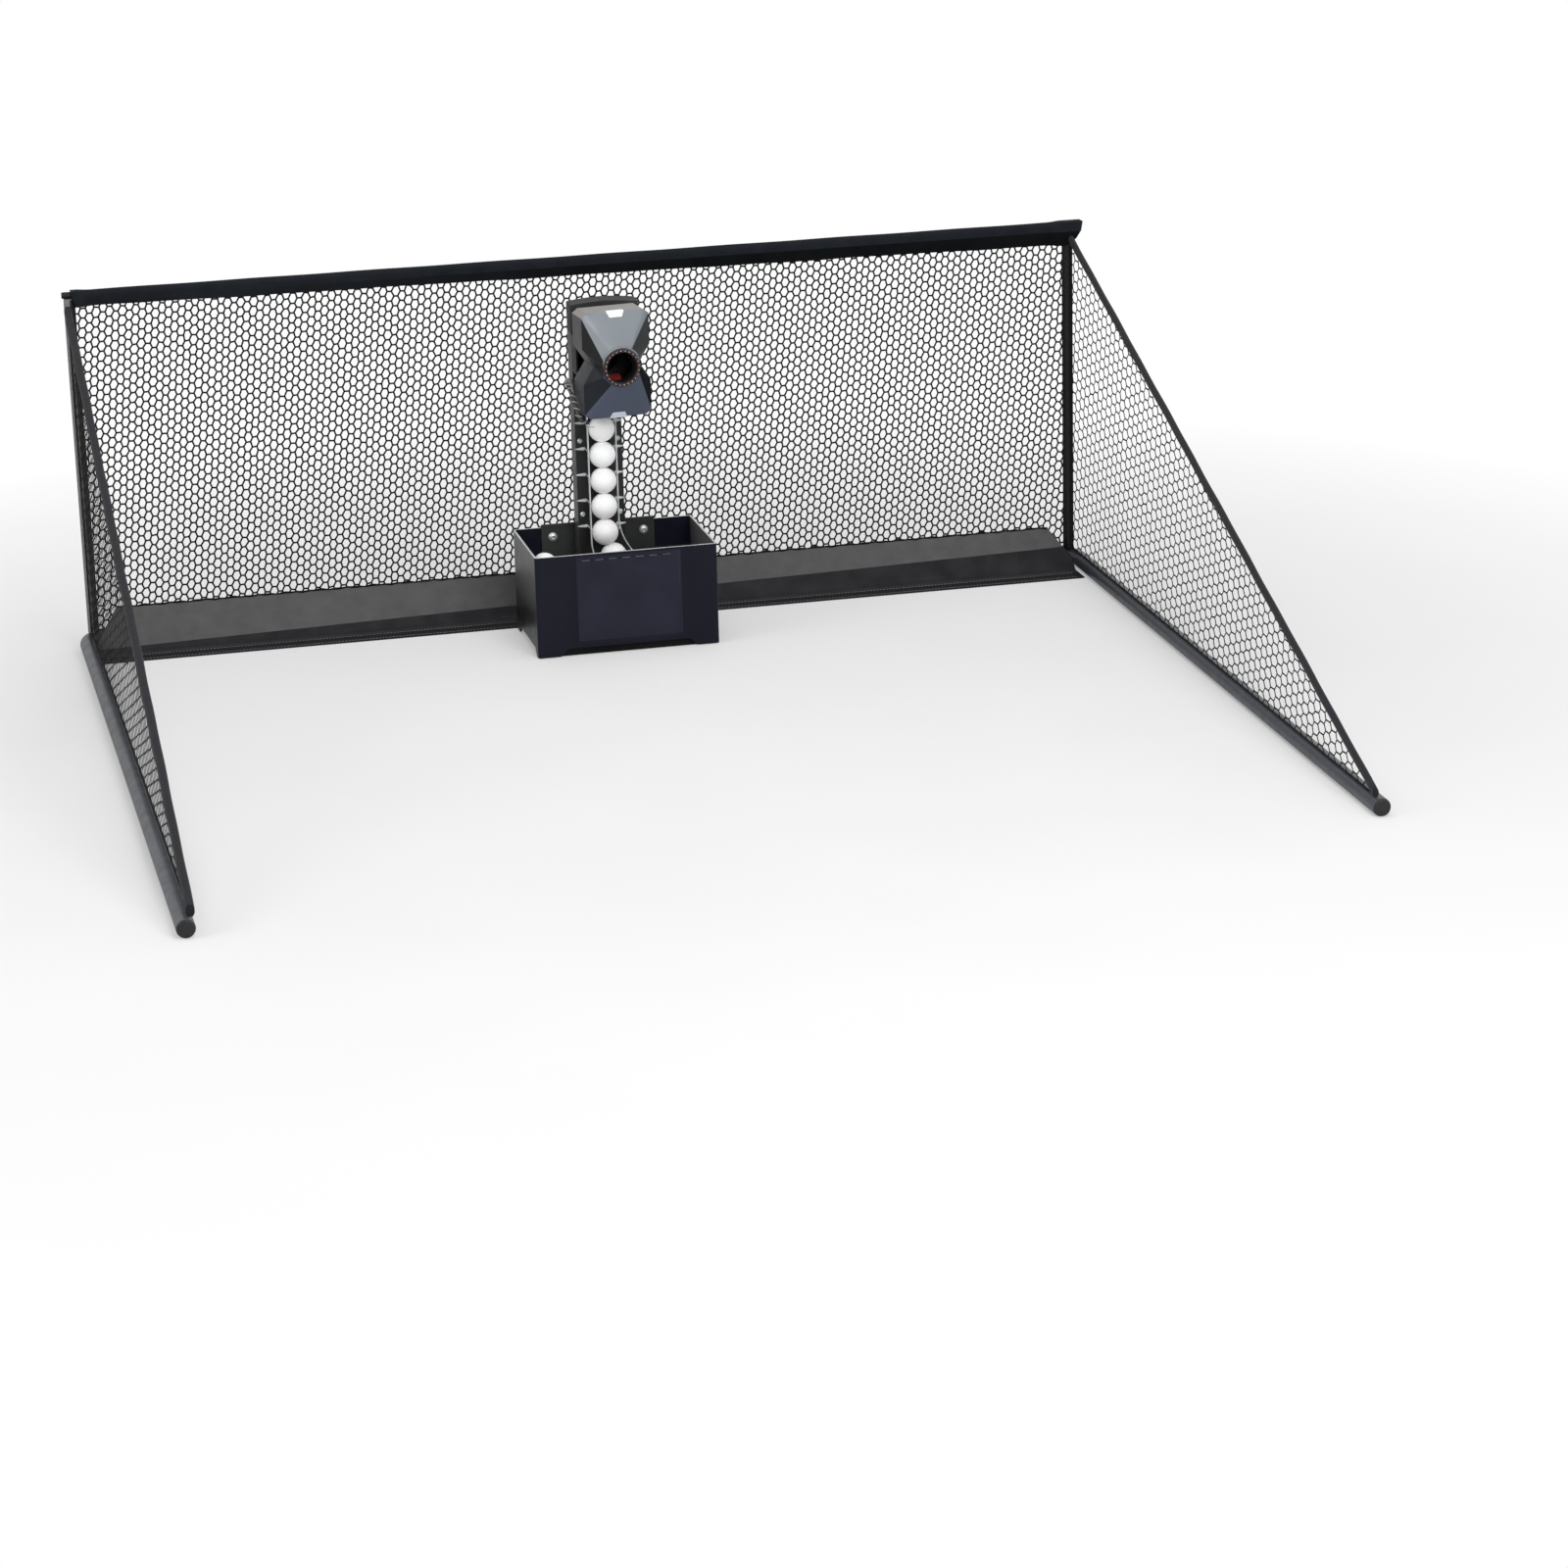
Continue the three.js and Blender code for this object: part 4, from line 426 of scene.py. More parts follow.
def mix_over(tree, share, colour):
    """Mixes a colour over the base colour that the shader has so far."""
    base = tree.nodes["Principled BSDF"].inputs["Base Color"]
    mix = tree.nodes.new("ShaderNodeMixRGB")
    feed(tree, mix.inputs["Fac"], share)
    tree.links.new(base.links[0].from_socket, mix.inputs["Color1"])
    tree.links.new(colour, mix.inputs["Color2"])
    tree.links.new(mix.outputs[0], base)


def zone_tone(material, zone, colour, other):
    """A second pair of colours inside a zone. The zone is a function of the tree and of X, Y and Z in
    metres, and gives the share of the second pair, which is zero outside."""
    tree = material.node_tree
    tone = ramp(tree, noise(tree, place_of(tree), 22.0), [colour, other])
    mix_over(tree, zone(tree, *axes_of(tree)), tone)


def wave(tree, vector, direction, pitch):
    """Ridges across one axis, one for each pitch in metres."""
    node = tree.nodes.new("ShaderNodeTexWave")
    node.bands_direction = direction
    node.inputs["Scale"].default_value = math.pi / 10 / pitch
    node.inputs["Distortion"].default_value = 0.6
    node.inputs["Detail"].default_value = 1.0
    tree.links.new(vector, node.inputs["Vector"])
    return node.outputs["Fac"]


def cloth(name, colour, other, pitch, axes, roughness=(0.75, 0.92), depth=250, specular=0.5, **sockets):
    """Woven cloth: ridges of thread across two axes, multiplied, on crinkles four times as deep, with a
    colour that follows both."""
    material, tree, shader = start_finish(name, specular, sockets)
    place = place_of(tree)
    weave = work_out(tree, "MULTIPLY", *(wave(tree, place, direction, pitch) for direction in axes))
    crinkle = noise(tree, place, 38.0, 5.0)
    both = work_out(tree, "ADD", spread(tree, weave, 0.0, 0.3, 0.0, 1.0), spread(tree, crinkle, 0.0, 0.7))
    tone = ramp(tree, both, [colour, other], [0.1, 0.9])
    relief = bump(tree, weave, depth, bump(tree, crinkle, depth * 4))
    connect(tree, shader, tone, spread(tree, crinkle, *roughness), relief)
    return material


POWDER = finish("powder_coat_navy", (12, 14, 26), (17, 19, 31), (0.34, 0.46), 1500, 50, specular=0.14)
# Painted light: a lighter grey copy of the navy powder coat for the hopper's left-facing faces, as lit by the
# lamp on the left.
POWDER_LIT_LEFT = finish("powder_coat_navy_lit_left", (28, 29, 33), (34, 35, 39), (0.3, 0.4), 1500, 40,
                     specular=0.26)
# Painted highlight: a light grey for the up-facing faces of the hopper's rim, where the lamps glint on the
# folded edge.
RIM_HIGHLIGHT = finish("painted_rim_highlight", (176, 178, 180), (214, 215, 216), (0.3, 0.45), 900, 40)
TOWER_BLACK = finish("powder_coat_black", (20, 20, 22), (26, 26, 28), (0.36, 0.5), 1500, 40, specular=0.3)
# Painted light: a lighter grey copy of the black powder coat for the tower's left-facing faces, as lit by the
# lamp on the left.
TOWER_LIT_LEFT = finish("powder_coat_black_lit_left", (60, 60, 61), (70, 70, 71), (0.28, 0.4), 1500, 40,
                    specular=0.4)
BRACKET_BLACK = finish("rolled_black_steel", (34, 35, 36), (44, 45, 45), (0.34, 0.48), 300,
                       stretch=(0.1, 1, 1), specular=0.45)
MOULDED = finish("moulded_black", (20, 20, 22), (27, 27, 29), (0.4, 0.55), 700, 60, specular=0.35)
HOUSING = finish("moulded_charcoal", (30, 31, 33), (40, 41, 43), (0.42, 0.56), 800, 80, specular=0.35)
# The cowls are one grey-blue paint in lit and shaded copies, picked by their normals: painted light on the
# upper front and the top, painted shade on the flanks and the sides.
UPPER_PAINT = finish("cowl_grey", (104, 112, 118), (113, 121, 127), (0.3, 0.42), 1100)
UPPER_SHADED_FLANK = finish("cowl_grey_shaded_flank", (21, 21, 23), (28, 28, 30), (0.32, 0.44), 1100, specular=0.25)
UPPER_SHADED_FLANK_RIGHT = finish("cowl_grey_shaded_flank_right", (42, 43, 44), (50, 51, 52), (0.32, 0.44), 1100,
                           specular=0.25)
UPPER_SHADED_SIDE = finish("cowl_grey_shaded_side", (75, 75, 75), (85, 85, 85), (0.32, 0.44), 1100, specular=0.3)
UPPER_LIT_TOP = finish("cowl_grey_lit_top", (118, 117, 115), (130, 129, 127), (0.32, 0.44), 1100, specular=0.4)
# Painted shade: the lower cowl's front faces down, so it has the cowl's grey-blue paint darkened to slate.
LOWER_SHADED_PAINT = finish("cowl_slate", (60, 67, 84), (67, 74, 92), (0.3, 0.42), 1100, specular=0.4)
LOWER_SHADED_FLANK_RIGHT = finish("cowl_slate_shaded_flank_right", (6, 7, 10), (10, 11, 15), (0.4, 0.5), 1100,
                           specular=0.06)
LOWER_SHADED_FLANK = finish("cowl_slate_shaded_flank", (14, 18, 26), (20, 24, 33), (0.32, 0.44), 1100, specular=0.25)
LOWER_SHADED_SIDE = finish("cowl_slate_shaded_side", (45, 46, 48), (53, 54, 56), (0.32, 0.44), 1100, specular=0.3)
RING_BROWN = finish("ring_brown", (42, 24, 23), (54, 31, 29), (0.35, 0.5), 1200, 50, specular=0.35)
CHROME = finish("chrome", (196, 199, 203), (214, 216, 219), (0.14, 0.3), 500, 20, Metallic=1.0)
STEEL = finish("machined_steel", (150, 152, 155), (172, 174, 176), (0.25, 0.4), 260, 20,
               stretch=(1, 0.06, 1), Metallic=1.0)
NYLON = finish("nylon_white", (222, 219, 208), (232, 230, 221), (0.4, 0.55), 600, 40)
RUBBER = finish("rubber_black", (22, 22, 22), (30, 30, 30), (0.75, 0.9), 500, 100, specular=0.3)
TYRE_RED = finish("tyre_red", (112, 16, 15), (134, 24, 21), (0.65, 0.85), 420, 200)
BOARD = finish("board_green", (24, 82, 48), (30, 96, 58), (0.3, 0.45), 300, 100)
BALL_WHITE = finish("ball_white", (249, 250, 250), (254, 254, 254), (0.42, 0.55), 1600, 20,
                    Subsurface_Weight=0.15, Subsurface_Scale=0.004)
GUIDE_CLEAR = finish("guide_clear", (238, 241, 243), (248, 249, 250), (0.1, 0.2), 200, 20,
                     Transmission_Weight=0.45, IOR=1.3)
HOOP_CLEAR = finish("hoop_clear", (214, 219, 223), (228, 232, 235), (0.12, 0.22), 200, 20, Alpha=0.6)
ZINC = finish("zinc_plate", (176, 182, 180), (206, 210, 208), (0.28, 0.42), 420, Metallic=0.55)
BAR_PAINT = finish("bar_grey", (48, 52, 58), (57, 61, 68), (0.34, 0.46), 800, Metallic=0.25, specular=0.4)
POCKET_GREY = finish("net_pocket_grey", (110, 110, 111), (130, 130, 131), (0.7, 0.85), 420, 300,
                     blotch=260.0, specular=0.12)
POST_BLACK = finish("post_black", (11, 12, 13), (17, 18, 19), (0.4, 0.52), 900, 40, specular=0.22)
NET_CORD = finish("net_cord", (8, 8, 9), (15, 15, 17), (0.7, 0.85), 1800, 100, specular=0.12)
WRAP_GREY = finish("spiral_wrap", (128, 130, 129), (150, 151, 150), (0.35, 0.5), 700, 50)
WIRE_BLACK = finish("wire_black", (28, 28, 30), (38, 38, 40), (0.4, 0.55), 700, 50)
STRAND_LIGHT = finish("strand_light", (196, 198, 196), (212, 213, 210), (0.35, 0.5), 700, 40)
CLIP_WHITE = finish("clip_white", (240, 243, 241), (248, 249, 248))
CLIP_GREY = finish("clip_grey", (186, 192, 204), (200, 206, 216))
DOT_WHITE = finish("dot_white", (236, 230, 226), (246, 242, 239), (0.3, 0.45), 900, 20)
DASH_GREY = finish("dash_grey", (74, 79, 93), (86, 91, 105))
COLLAR_GREY = finish("collar_grey", (112, 118, 124), (124, 130, 135), (0.3, 0.42))
SLEEVE_CLOTH = cloth("sleeve_cloth", (24, 27, 32), (33, 36, 41), 0.0016, "XZ", specular=0.08)
TAPE_CLOTH = cloth("binding_tape", (15, 16, 20), (28, 29, 36), 0.0012, "YZ", Sheen_Weight=0.08,
                   specular=0.25)
TRAY_CLOTH = cloth("tray_cloth", (74, 74, 74), (90, 90, 90), 0.0016, "XZ", (0.6, 0.8), 200,
                   Sheen_Weight=0.04, specular=0.25)
LIP_CLOTH = cloth("lip_cloth", (18, 18, 22), (27, 27, 31), 0.0016, "XY", (0.6, 0.8), 200, specular=0.15)
STITCH = finish("stitch_thread", (120, 120, 120), (144, 144, 144), (0.6, 0.75), 2500, 100)


def front_panel(tree, x, y, z):
    """The rectangle on the hopper's front: X within 79.5 mm of 3.5, Z within 65 mm of 87, and Y ahead of the
    wall's inner face."""
    across = work_out(tree, "COMPARE", x, 0.0035, 0.0795)
    upright = work_out(tree, "COMPARE", z, 0.087, 0.065)
    ahead = work_out(tree, "LESS_THAN", y, (HOPPER_FRONT + 0.9) * MM)
    return work_out(tree, "MULTIPLY", work_out(tree, "MULTIPLY", across, upright), ahead)


def sleeve_skirt_shade(tree, x, y, z):
    """The lower half of the sleeve, which hangs under the bar, in painted shade that is darker towards the
    right.
    """
    below_bar = work_out(tree, "LESS_THAN", z, 0.5365)
    return work_out(tree, "MULTIPLY", below_bar, spread(tree, x, 0.0, 1.0, -0.6, 0.1))


def painted_reflection_by_height(material, greys, places):
    """Mixes greys into the paint that change with the height, from the floor to the hopper's rim: a
    painted reflection, pale at the floor, darkest a sixth of the way up and palest at the rim."""
    tree = material.node_tree
    height = spread(tree, axes_of(tree)["Z"], 0.0, 1.0, 0.0, HOPPER_TOP * MM)
    mix_over(tree, 0.8, ramp(tree, height, [(grey, grey, grey + 1) for grey in greys], places))


def tray_foot(tree, x, y, z):
    """The foot of the tray's band, under a line that climbs slowly to the right: z - 0.0168 x < 20.6 mm."""
    return work_out(tree, "LESS_THAN", work_out(tree, "MULTIPLY_ADD", x, -0.0168, z), 0.0206)


zone_tone(POWDER, front_panel, (28, 29, 42), (33, 34, 47))
# Painted reflection on the hopper's lit left wall, changing with the height.
painted_reflection_by_height(POWDER_LIT_LEFT, [74, 50, 7, 17, 86, 112], [0.0, 0.05, 0.16, 0.36, 0.66, 1.0])
# Painted shade on the sleeve's lower half, under the bar.
zone_tone(SLEEVE_CLOTH, sleeve_skirt_shade, (6, 8, 10), (11, 13, 16))
zone_tone(TRAY_CLOTH, tray_foot, (18, 18, 22), (27, 27, 31))


# stage


def build_stage():
    """A pale floor that fades into the white round it, a white world, and three soft lamps. Camera, mirror
    and glass rays see the world at full strength, and its soft light has half."""
    reach = 30.0
    mesh = bpy.data.meshes.new("floor")
    mesh.from_pydata([(x, y, 0) for x, y in rectangle(-reach, -reach, reach, reach)], [], [(0, 1, 2, 3)])
    floor = placed("floor", mesh)
    material, tree, shader = start_finish("floor_pale", 0.1, {"Roughness": 0.9})
    place = place_of(tree)
    tone = ramp(tree, noise(tree, place, 3.0), [(226, 226, 226), (229, 229, 229)], [0.3, 0.7])
    tree.links.new(tone, shader.inputs["Base Color"])
    distance = tree.nodes.new("ShaderNodeVectorMath")
    distance.operation = "LENGTH"
    tree.links.new(place, distance.inputs[0])
    fade = spread(tree, distance.outputs["Value"], 0.25, 1.0, 0.9, 2.0)
    path = tree.nodes.new("ShaderNodeLightPath")
    share = work_out(tree, "MULTIPLY", fade, path.outputs["Is Camera Ray"])
    white = tree.nodes.new("ShaderNodeEmission")
    mix = tree.nodes.new("ShaderNodeMixShader")
    for socket, value in zip(mix.inputs, (share, shader.outputs[0], white.outputs[0])):
        tree.links.new(value, socket)
    tree.links.new(mix.outputs[0], tree.nodes["Material Output"].inputs["Surface"])
    mesh.materials.append(material)

    world = bpy.data.worlds.new("studio")
    bpy.context.scene.world = world
    world.use_nodes = True
    tree = world.node_tree
    path = tree.nodes.new("ShaderNodeLightPath")
    seen = work_out(tree, "MAXIMUM", path.outputs["Is Glossy Ray"], path.outputs["Is Transmission Ray"])
    clear = work_out(tree, "MAXIMUM", seen, path.outputs["Is Camera Ray"])
    background = tree.nodes["Background"]
    background.inputs["Color"].default_value = (1, 1, 1, 1)
    tree.links.new(spread(tree, clear, 0.5, 1.0, 0.0, 1.0), background.inputs["Strength"])

    for name, place, size, power in (
        ("overhead", (0.1, 0.2, 3.3), 2.4, 26),
        ("front", (0.6, -3.2, 2.2), 2.0, 84),
        ("left", (-3.2, -0.6, 1.9), 1.6, 26),
    ):
        data = bpy.data.lights.new(name, "AREA")
        data.size = size
        data.energy = power
        lamp = placed(name, data)
        x, y, z = np.array(LAMP_AIM) - np.array(place)
        lamp.location = place
        lamp.rotation_euler = (math.atan2(math.hypot(x, y), -z), 0, math.atan2(y, x) - math.pi / 2)


def place_camera():
    """The camera stands high in front and to the left, and looks along its own -Z."""
    data = bpy.data.cameras.new("camera")
    data.sensor_width = 36.0
    data.lens = CAMERA_LENS
    data.clip_end = 100.0
    camera = placed("camera", data)
    turn = (Matrix.Rotation(CAMERA_YAW, 4, "Z") @ Matrix.Rotation(CAMERA_PITCH, 4, "X")
            @ Matrix.Rotation(CAMERA_ROLL, 4, "Z"))
    camera.matrix_world = Matrix.Translation(CAMERA_AT) @ turn
    bpy.context.scene.camera = camera


bpy.context.scene.view_settings.view_transform = "Standard"
build_stage()
place_camera()


# rigid parts


ROUNDED = {
    "hopper_shell": (POWDER, 0.7, "shell"),
    "base_plate": (MOULDED, 0.4, "black_plastic"),
    "hopper_funnel": (MOULDED, 0.4, "black_plastic"),
    "rear_bracket": (BRACKET_BLACK, 0.5, "tower_steel"),
    "feed_housing": (MOULDED, 0.4, "black_plastic"),
    "feed_gearmotor": (STEEL, 0.6, "bright_steel"),
    "tower_column": (TOWER_BLACK, 0.8, "tower_steel"),
    "tower_rear_cover": (TOWER_BLACK, 0.5, "tower_steel"),
    "top_housing": (HOUSING, 1.6, "black_plastic"),
    "bearing_block": (MOULDED, 0.5, "black_plastic"),
    "head_chassis": (TOWER_BLACK, 0.3, "tower_steel"),
    "upper_cowl": (UPPER_PAINT, 0.7, "upper_cowl"),
    "lower_cowl": (LOWER_SHADED_PAINT, 0.7, "lower_cowl"),
    "throat_barrel": (MOULDED, 0.3, "black_plastic"),
    "throat_ring": (RING_BROWN, 0.3, "throat_ring"),
    "elbow": (MOULDED, 0.3, "black_plastic"),
    "upper_tyre": (TYRE_RED, 0.6, "tyre"),
    "lower_tyre": (TYRE_RED, 0.6, "tyre"),
    "upper_motor": (STEEL, 0.4, "bright_steel"),
    "lower_motor": (STEEL, 0.4, "bright_steel"),
    "power_inlet": (MOULDED, 0.3, "black_plastic"),
    "power_switch": (MOULDED, 0.4, "black_plastic"),
    **{f"rubber_foot_{i}": (RUBBER, 0.4, "rubber") for i in range(1, 5)},
}
CARRIED_OVER = {
    "feed_wheel": NYLON, "feed_shaft": CHROME, "yaw_servo": MOULDED, "yaw_pinion": NYLON, "yaw_gear": NYLON,
    "control_board": BOARD, "upper_hub": NYLON, "lower_hub": NYLON,
}


def in_head(normal):
    """How far each normal points across, to the rear and up, in the head's own axes."""
    return (normal @ HEAD_TURN).T


def flank(side):
    """The slanted facets on one side of the front facet, which get a shaded copy of the cowl's paint as
    painted shade.
    """
    def picks(normal, middle):
        across, rearward, _ = in_head(normal)
        return (side * across > 0.28) & (rearward < -0.2)
    return picks


def shaded_cheek(normal, middle):
    """The faces that look to a side and hardly to the front, which get a shaded copy of the cowl's paint as
    painted shade.
    """
    across, rearward, _ = in_head(normal)
    return (np.abs(across) > 0.28) & (rearward >= -0.2)


def lit_cowl_top(normal, middle):
    """The faces that look up and hardly to the front, which get a lit copy of the cowl's paint as painted
    light.
    """
    return (normal[:, 2] > 0.6) & (in_head(normal)[1] > -0.2)


def lit_left_wall(normal, middle):
    """The faces that look to the left, which get a lit copy of their paint as painted light."""
    return normal[:, 0] < -0.9


def highlit_hopper_rim(normal, middle):
    """The faces at the very top of the hopper that look up, which get a painted highlight."""
    return (normal[:, 2] > 0.3) & (middle[:, 2] > HOPPER_TOP - 1.2)


# Painted light and shade on the rounded nodes: lit copies of the paint on left walls, cowl tops and the
# hopper's rim, shaded copies on the cowls' flanks and sides.
PAINTED_LIGHT_FINISHES = {
    "hopper_shell": [(POWDER_LIT_LEFT, lit_left_wall), (RIM_HIGHLIGHT, highlit_hopper_rim)],
    "tower_column": [(TOWER_LIT_LEFT, lit_left_wall)],
    "upper_cowl": [(UPPER_SHADED_FLANK, flank(-1)), (UPPER_SHADED_FLANK_RIGHT, flank(1)), (UPPER_SHADED_SIDE, shaded_cheek),
                   (UPPER_LIT_TOP, lit_cowl_top)],
    "lower_cowl": [(LOWER_SHADED_FLANK, flank(-1)), (LOWER_SHADED_FLANK_RIGHT, flank(1)), (LOWER_SHADED_SIDE, shaded_cheek)],
}
for node, (material, edge, slot_name) in ROUNDED.items():
    dress(node, material, edge, PAINTED_LIGHT_FINISHES.get(node, ()))
for node, material in CARRIED_OVER.items():
    for slot_of_node in frame["nodes"][node].material_slots:
        slot_of_node.material = material


# balls and guide


def ball_shape(centre, tilt):
    """A ball as a turned half circle, with a fine groove along its seam: r = R sin a less a notch that
    fades with the square of the height. The seam is tilted by two angles."""
    angle = np.concatenate([np.linspace(0.06, 1.5, 15), [1.545, 1.5708, 1.5966], np.linspace(1.64, 3.08, 15)])
    height = BALL_RADIUS * np.cos(angle)
    groove = 1 - 0.005 * np.exp(-((height / 0.45) ** 2))
    points, faces = turned(np.stack([BALL_RADIUS * np.sin(angle) * groove, height], -1), 40)
    lean = Matrix.Rotation(tilt[0], 3, "X") @ Matrix.Rotation(tilt[1], 3, "Y")
    return points @ np.array(lean).T + centre, faces


def middle_of(node):
    """The middle of a node's box, on the drawing."""
    low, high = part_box(node)
    return (np.array(low) + np.array(high)) / 2 / MM - np.array([0, POST_PLANE, 0])


tilts = np.random.default_rng(11).uniform(-1.2, 1.2, (7, 2))
for number, tilt in enumerate(tilts, 1):
    node = f"ball_{number}"
    shape_to_piece(f"ball_round_{number}", ball_shape(middle_of(node), tilt), BALL_WHITE, replaces=[node],
                   sharp=60)


def strip_shape(line, thickness, near, far):
    """A strip with a bent centre line in X and Z: the line is offset to both sides, then carried along Y."""
    normal = left_of(unit(np.gradient(line, axis=0))) * thickness / 2
    outline = np.concatenate([line + normal, (line - normal)[::-1]])
    return plate(counter_clockwise(outline[:, ::-1]), near, far, "y", 0.25)


def counter_clockwise(outline):
    """The outline, turned round if its area by the shoelace formula is negative."""
    after = np.roll(outline, -1, 0)
    area = (outline[:, 0] * after[:, 1] - outline[:, 1] * after[:, 0]).sum()
    return outline if area > 0 else outline[::-1]


def lens(reach, half_height):
    """A lens in X and Z: its height is a power of a cosine, widest at zero and with its tip at reach."""
    share = np.linspace(0, 1, 9)
    upper = np.stack([reach * share, half_height * np.cos(share * math.pi / 2) ** 0.8 + 0.25], -1)
    return np.concatenate([upper, (upper * [1, -1])[::-1]])


def build_guide():
    """The clear guide: a straight strip that bends out below, one that flares with the square of its drop,
    and five pairs of arms with lens-shaped ears that tie them to the tower."""
    wall = GUIDE_OUTER - GUIDE_BORE
    centre = (GUIDE_OUTER + GUIDE_BORE) / 2
    height = np.concatenate([[392, 330, 260, 200, 150], np.linspace(140, 96.3, 10)])
    left = np.stack([TOWER_X - centre + 12.3 * (np.clip(140 - height, 0, None) / 43.7) ** 1.4, height], -1)
    height = np.concatenate([[392, 330, 260, 200], np.linspace(178, 112, 16)])
    right = np.stack([TOWER_X + centre + 30 * (np.clip(178 - height, 0, None) / 66) ** 2, height], -1)
    near, far = GUIDE_Y - 3.6, GUIDE_Y + 3.6
    seat = TOWER_FRONT - 0.3
    angle = np.linspace(0, 0.36, 6)
    bend = np.stack([np.cos(angle), -np.sin(angle)], -1)
    back = seat - GUIDE_Y
    arm = np.concatenate([[[GUIDE_OUTER, back]], GUIDE_OUTER * bend, GUIDE_BORE * bend[::-1],
                          [[GUIDE_BORE, back]]])
    arms = [moved(plate(counter_clockwise(arm * [side, 1]), -0.9, 0.9, "z", 0.3), (TOWER_X, GUIDE_Y, 0))
            for side in (-1, 1)]
    ears = []
    for side in (-1, 1):
        outline = lens(15.0, 2.1) * [side, 1] + [TOWER_X + side * GUIDE_OUTER, 0]
        ears.append(plate(counter_clockwise(outline[:, ::-1]), seat - wall, seat, "y", 0.3))
    heights = [[0, 0, middle_of(f"ball_{number}")[2] + 5.5] for number in range(2, 7)]
    strips = join(strip_shape(left, wall, near, far), strip_shape(right, wall, near, far),
                  repeated(join(*ears), heights))
    shape_to_piece("guide_strips_and_ears", strips, GUIDE_CLEAR, replaces=["ball_tube"])
    shape_to_piece("guide_arms", repeated(join(*arms), heights), HOOP_CLEAR)


build_guide()


def dome_bolt(radius, height, socket):
    """A dome bolt along -Y: a quarter ellipse to the crown, with a round socket sunk into it."""
    share = np.linspace(0, 1, 8)[:-1] * math.pi / 2
    dome = np.stack([radius * np.cos(share), height * np.sin(share)], -1)
    dome = dome[dome[:, 0] > socket + 0.3]
    rim = [[socket, height * 0.99], [socket * 0.92, height * 0.45], [socket * 0.2, height * 0.4]]
    points, faces = turned(np.concatenate([[[radius * 0.98, -0.3]], dome, rim]), 24, "y")
    return points * [1, -1, 1], faces


BOLTS = {
    "guide_bolts": (dome_bolt(4.2, 2.6, 1.9), [(TOWER_X + side * 29, TOWER_FRONT - 0.1, z)
                                               for z in (295, 181) for side in (-1, 1)], ()),
    "bracket_dome_bolts": (dome_bolt(7.2, 4.4, 2.6), [(-78.5, -103.1, 141), (62.5, -103.1, 141)],
                           ("bracket_bolt_left", "bracket_bolt_right")),
}
for name, (bolt, places, stood_for) in BOLTS.items():
    shape_to_piece(name, repeated(bolt, places), ZINC, replaces=stood_for, sharp=50)


# hopper and head fittings


# Painted shadow: a black block on the floor under the hopper's base plate, a little inside its front and rear
# walls, stands for the shade there.
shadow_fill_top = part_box("base_plate")[0].z / MM - 0.1
shadow_fill_reach = abs(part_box("rubber_foot_1")[1].x / MM + 2)
shadow_fill_front, shadow_fill_rear = (edge.y / MM - POST_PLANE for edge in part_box("hopper_shell"))
shadow_fill = plate(rectangle(-shadow_fill_reach, shadow_fill_front + 5, shadow_fill_reach, shadow_fill_rear - 5), 0.4, shadow_fill_top, "z", 0.4)
shape_to_piece("painted_shadow_under_hopper", shadow_fill, NET_CORD)

dash = plate(rectangle(145.5, -6.0, 146.5, 6.0), -277.7, -276.9, "y", 0.15)
dash_places = [((i - 3) * 20.5, 0, 0) for i in range(7)]
shape_to_piece("hopper_dashes", repeated(dash, dash_places), DASH_GREY)


def facet_clip(sign):
    """A small clip over the outer rim of a cowl: a trapezoid down the facet and a tongue on the flat above.
    The facet falls by 52.5 while it comes forward by 24, so its slope is that direction at unit length."""
    slope, normal = unit(np.array([[0, -24, -52.5], [0, -52.5, 24]]))
    rim = np.array([0, -89.5, 79.5])
    corners = [[-13.5, 0], [13.5, 0], [9.5, 9], [-9.5, 9]]
    rows = [[rim + [u, 0, 0] + v * slope + lift * normal for u, v in corners] for lift in (0.15, 1.1)]
    clip = grid_shape(np.array(rows))
    tongue = plate([[-13.5, -90.2], [13.5, -90.2], [12, -84.5], [-12, -84.5]], 79.65, 80.7, "z", 0.2)
    points, faces = join(clip, tongue)
    return on_head((points * [1, 1, sign], faces))


shape_to_piece("upper_clip", facet_clip(1), CLIP_WHITE, "head")
shape_to_piece("lower_clip", facet_clip(-1), CLIP_GREY, "head")

angle = np.arange(24) * math.pi / 12 + 0.07
dot = turned([[0.66, 0.25], [0.64, 0], [0.44, -0.3], [0.1, -0.4]], 10, "y")
dots = repeated(dot, np.stack([25.6 * np.cos(angle), np.full(24, -119.6), 25.6 * np.sin(angle)], -1))
shape_to_piece("ring_studs", on_head(dots), DOT_WHITE, "head")

angle = np.linspace(math.radians(32), math.radians(148), 30)
section = np.array([[28.7, -113.6], [28.9, -115.0], [29.6, -115.4], [31.2, -115.0], [31.4, -113.6]])
collar = np.stack([section[:, None, 0] * np.cos(angle), np.repeat(section[:, 1:], 30, 1),
                   section[:, None, 0] * np.sin(angle)], -1).transpose(1, 0, 2)
shape_to_piece("throat_collar", on_head(grid_shape(collar)), COLLAR_GREY, "head")


# cable loom


LOOM_ROUTE = smooth_path([[-48.3, -118, 384], [-54, -146, 391], [-60.5, -182, 395], [-61, -212, 386],
                          [-58.2, -231, 369], [-56, -238, 356], [-50, -239, 348.5], [-43, -235, 346]], 121)
LOOM_SPLIT = 72


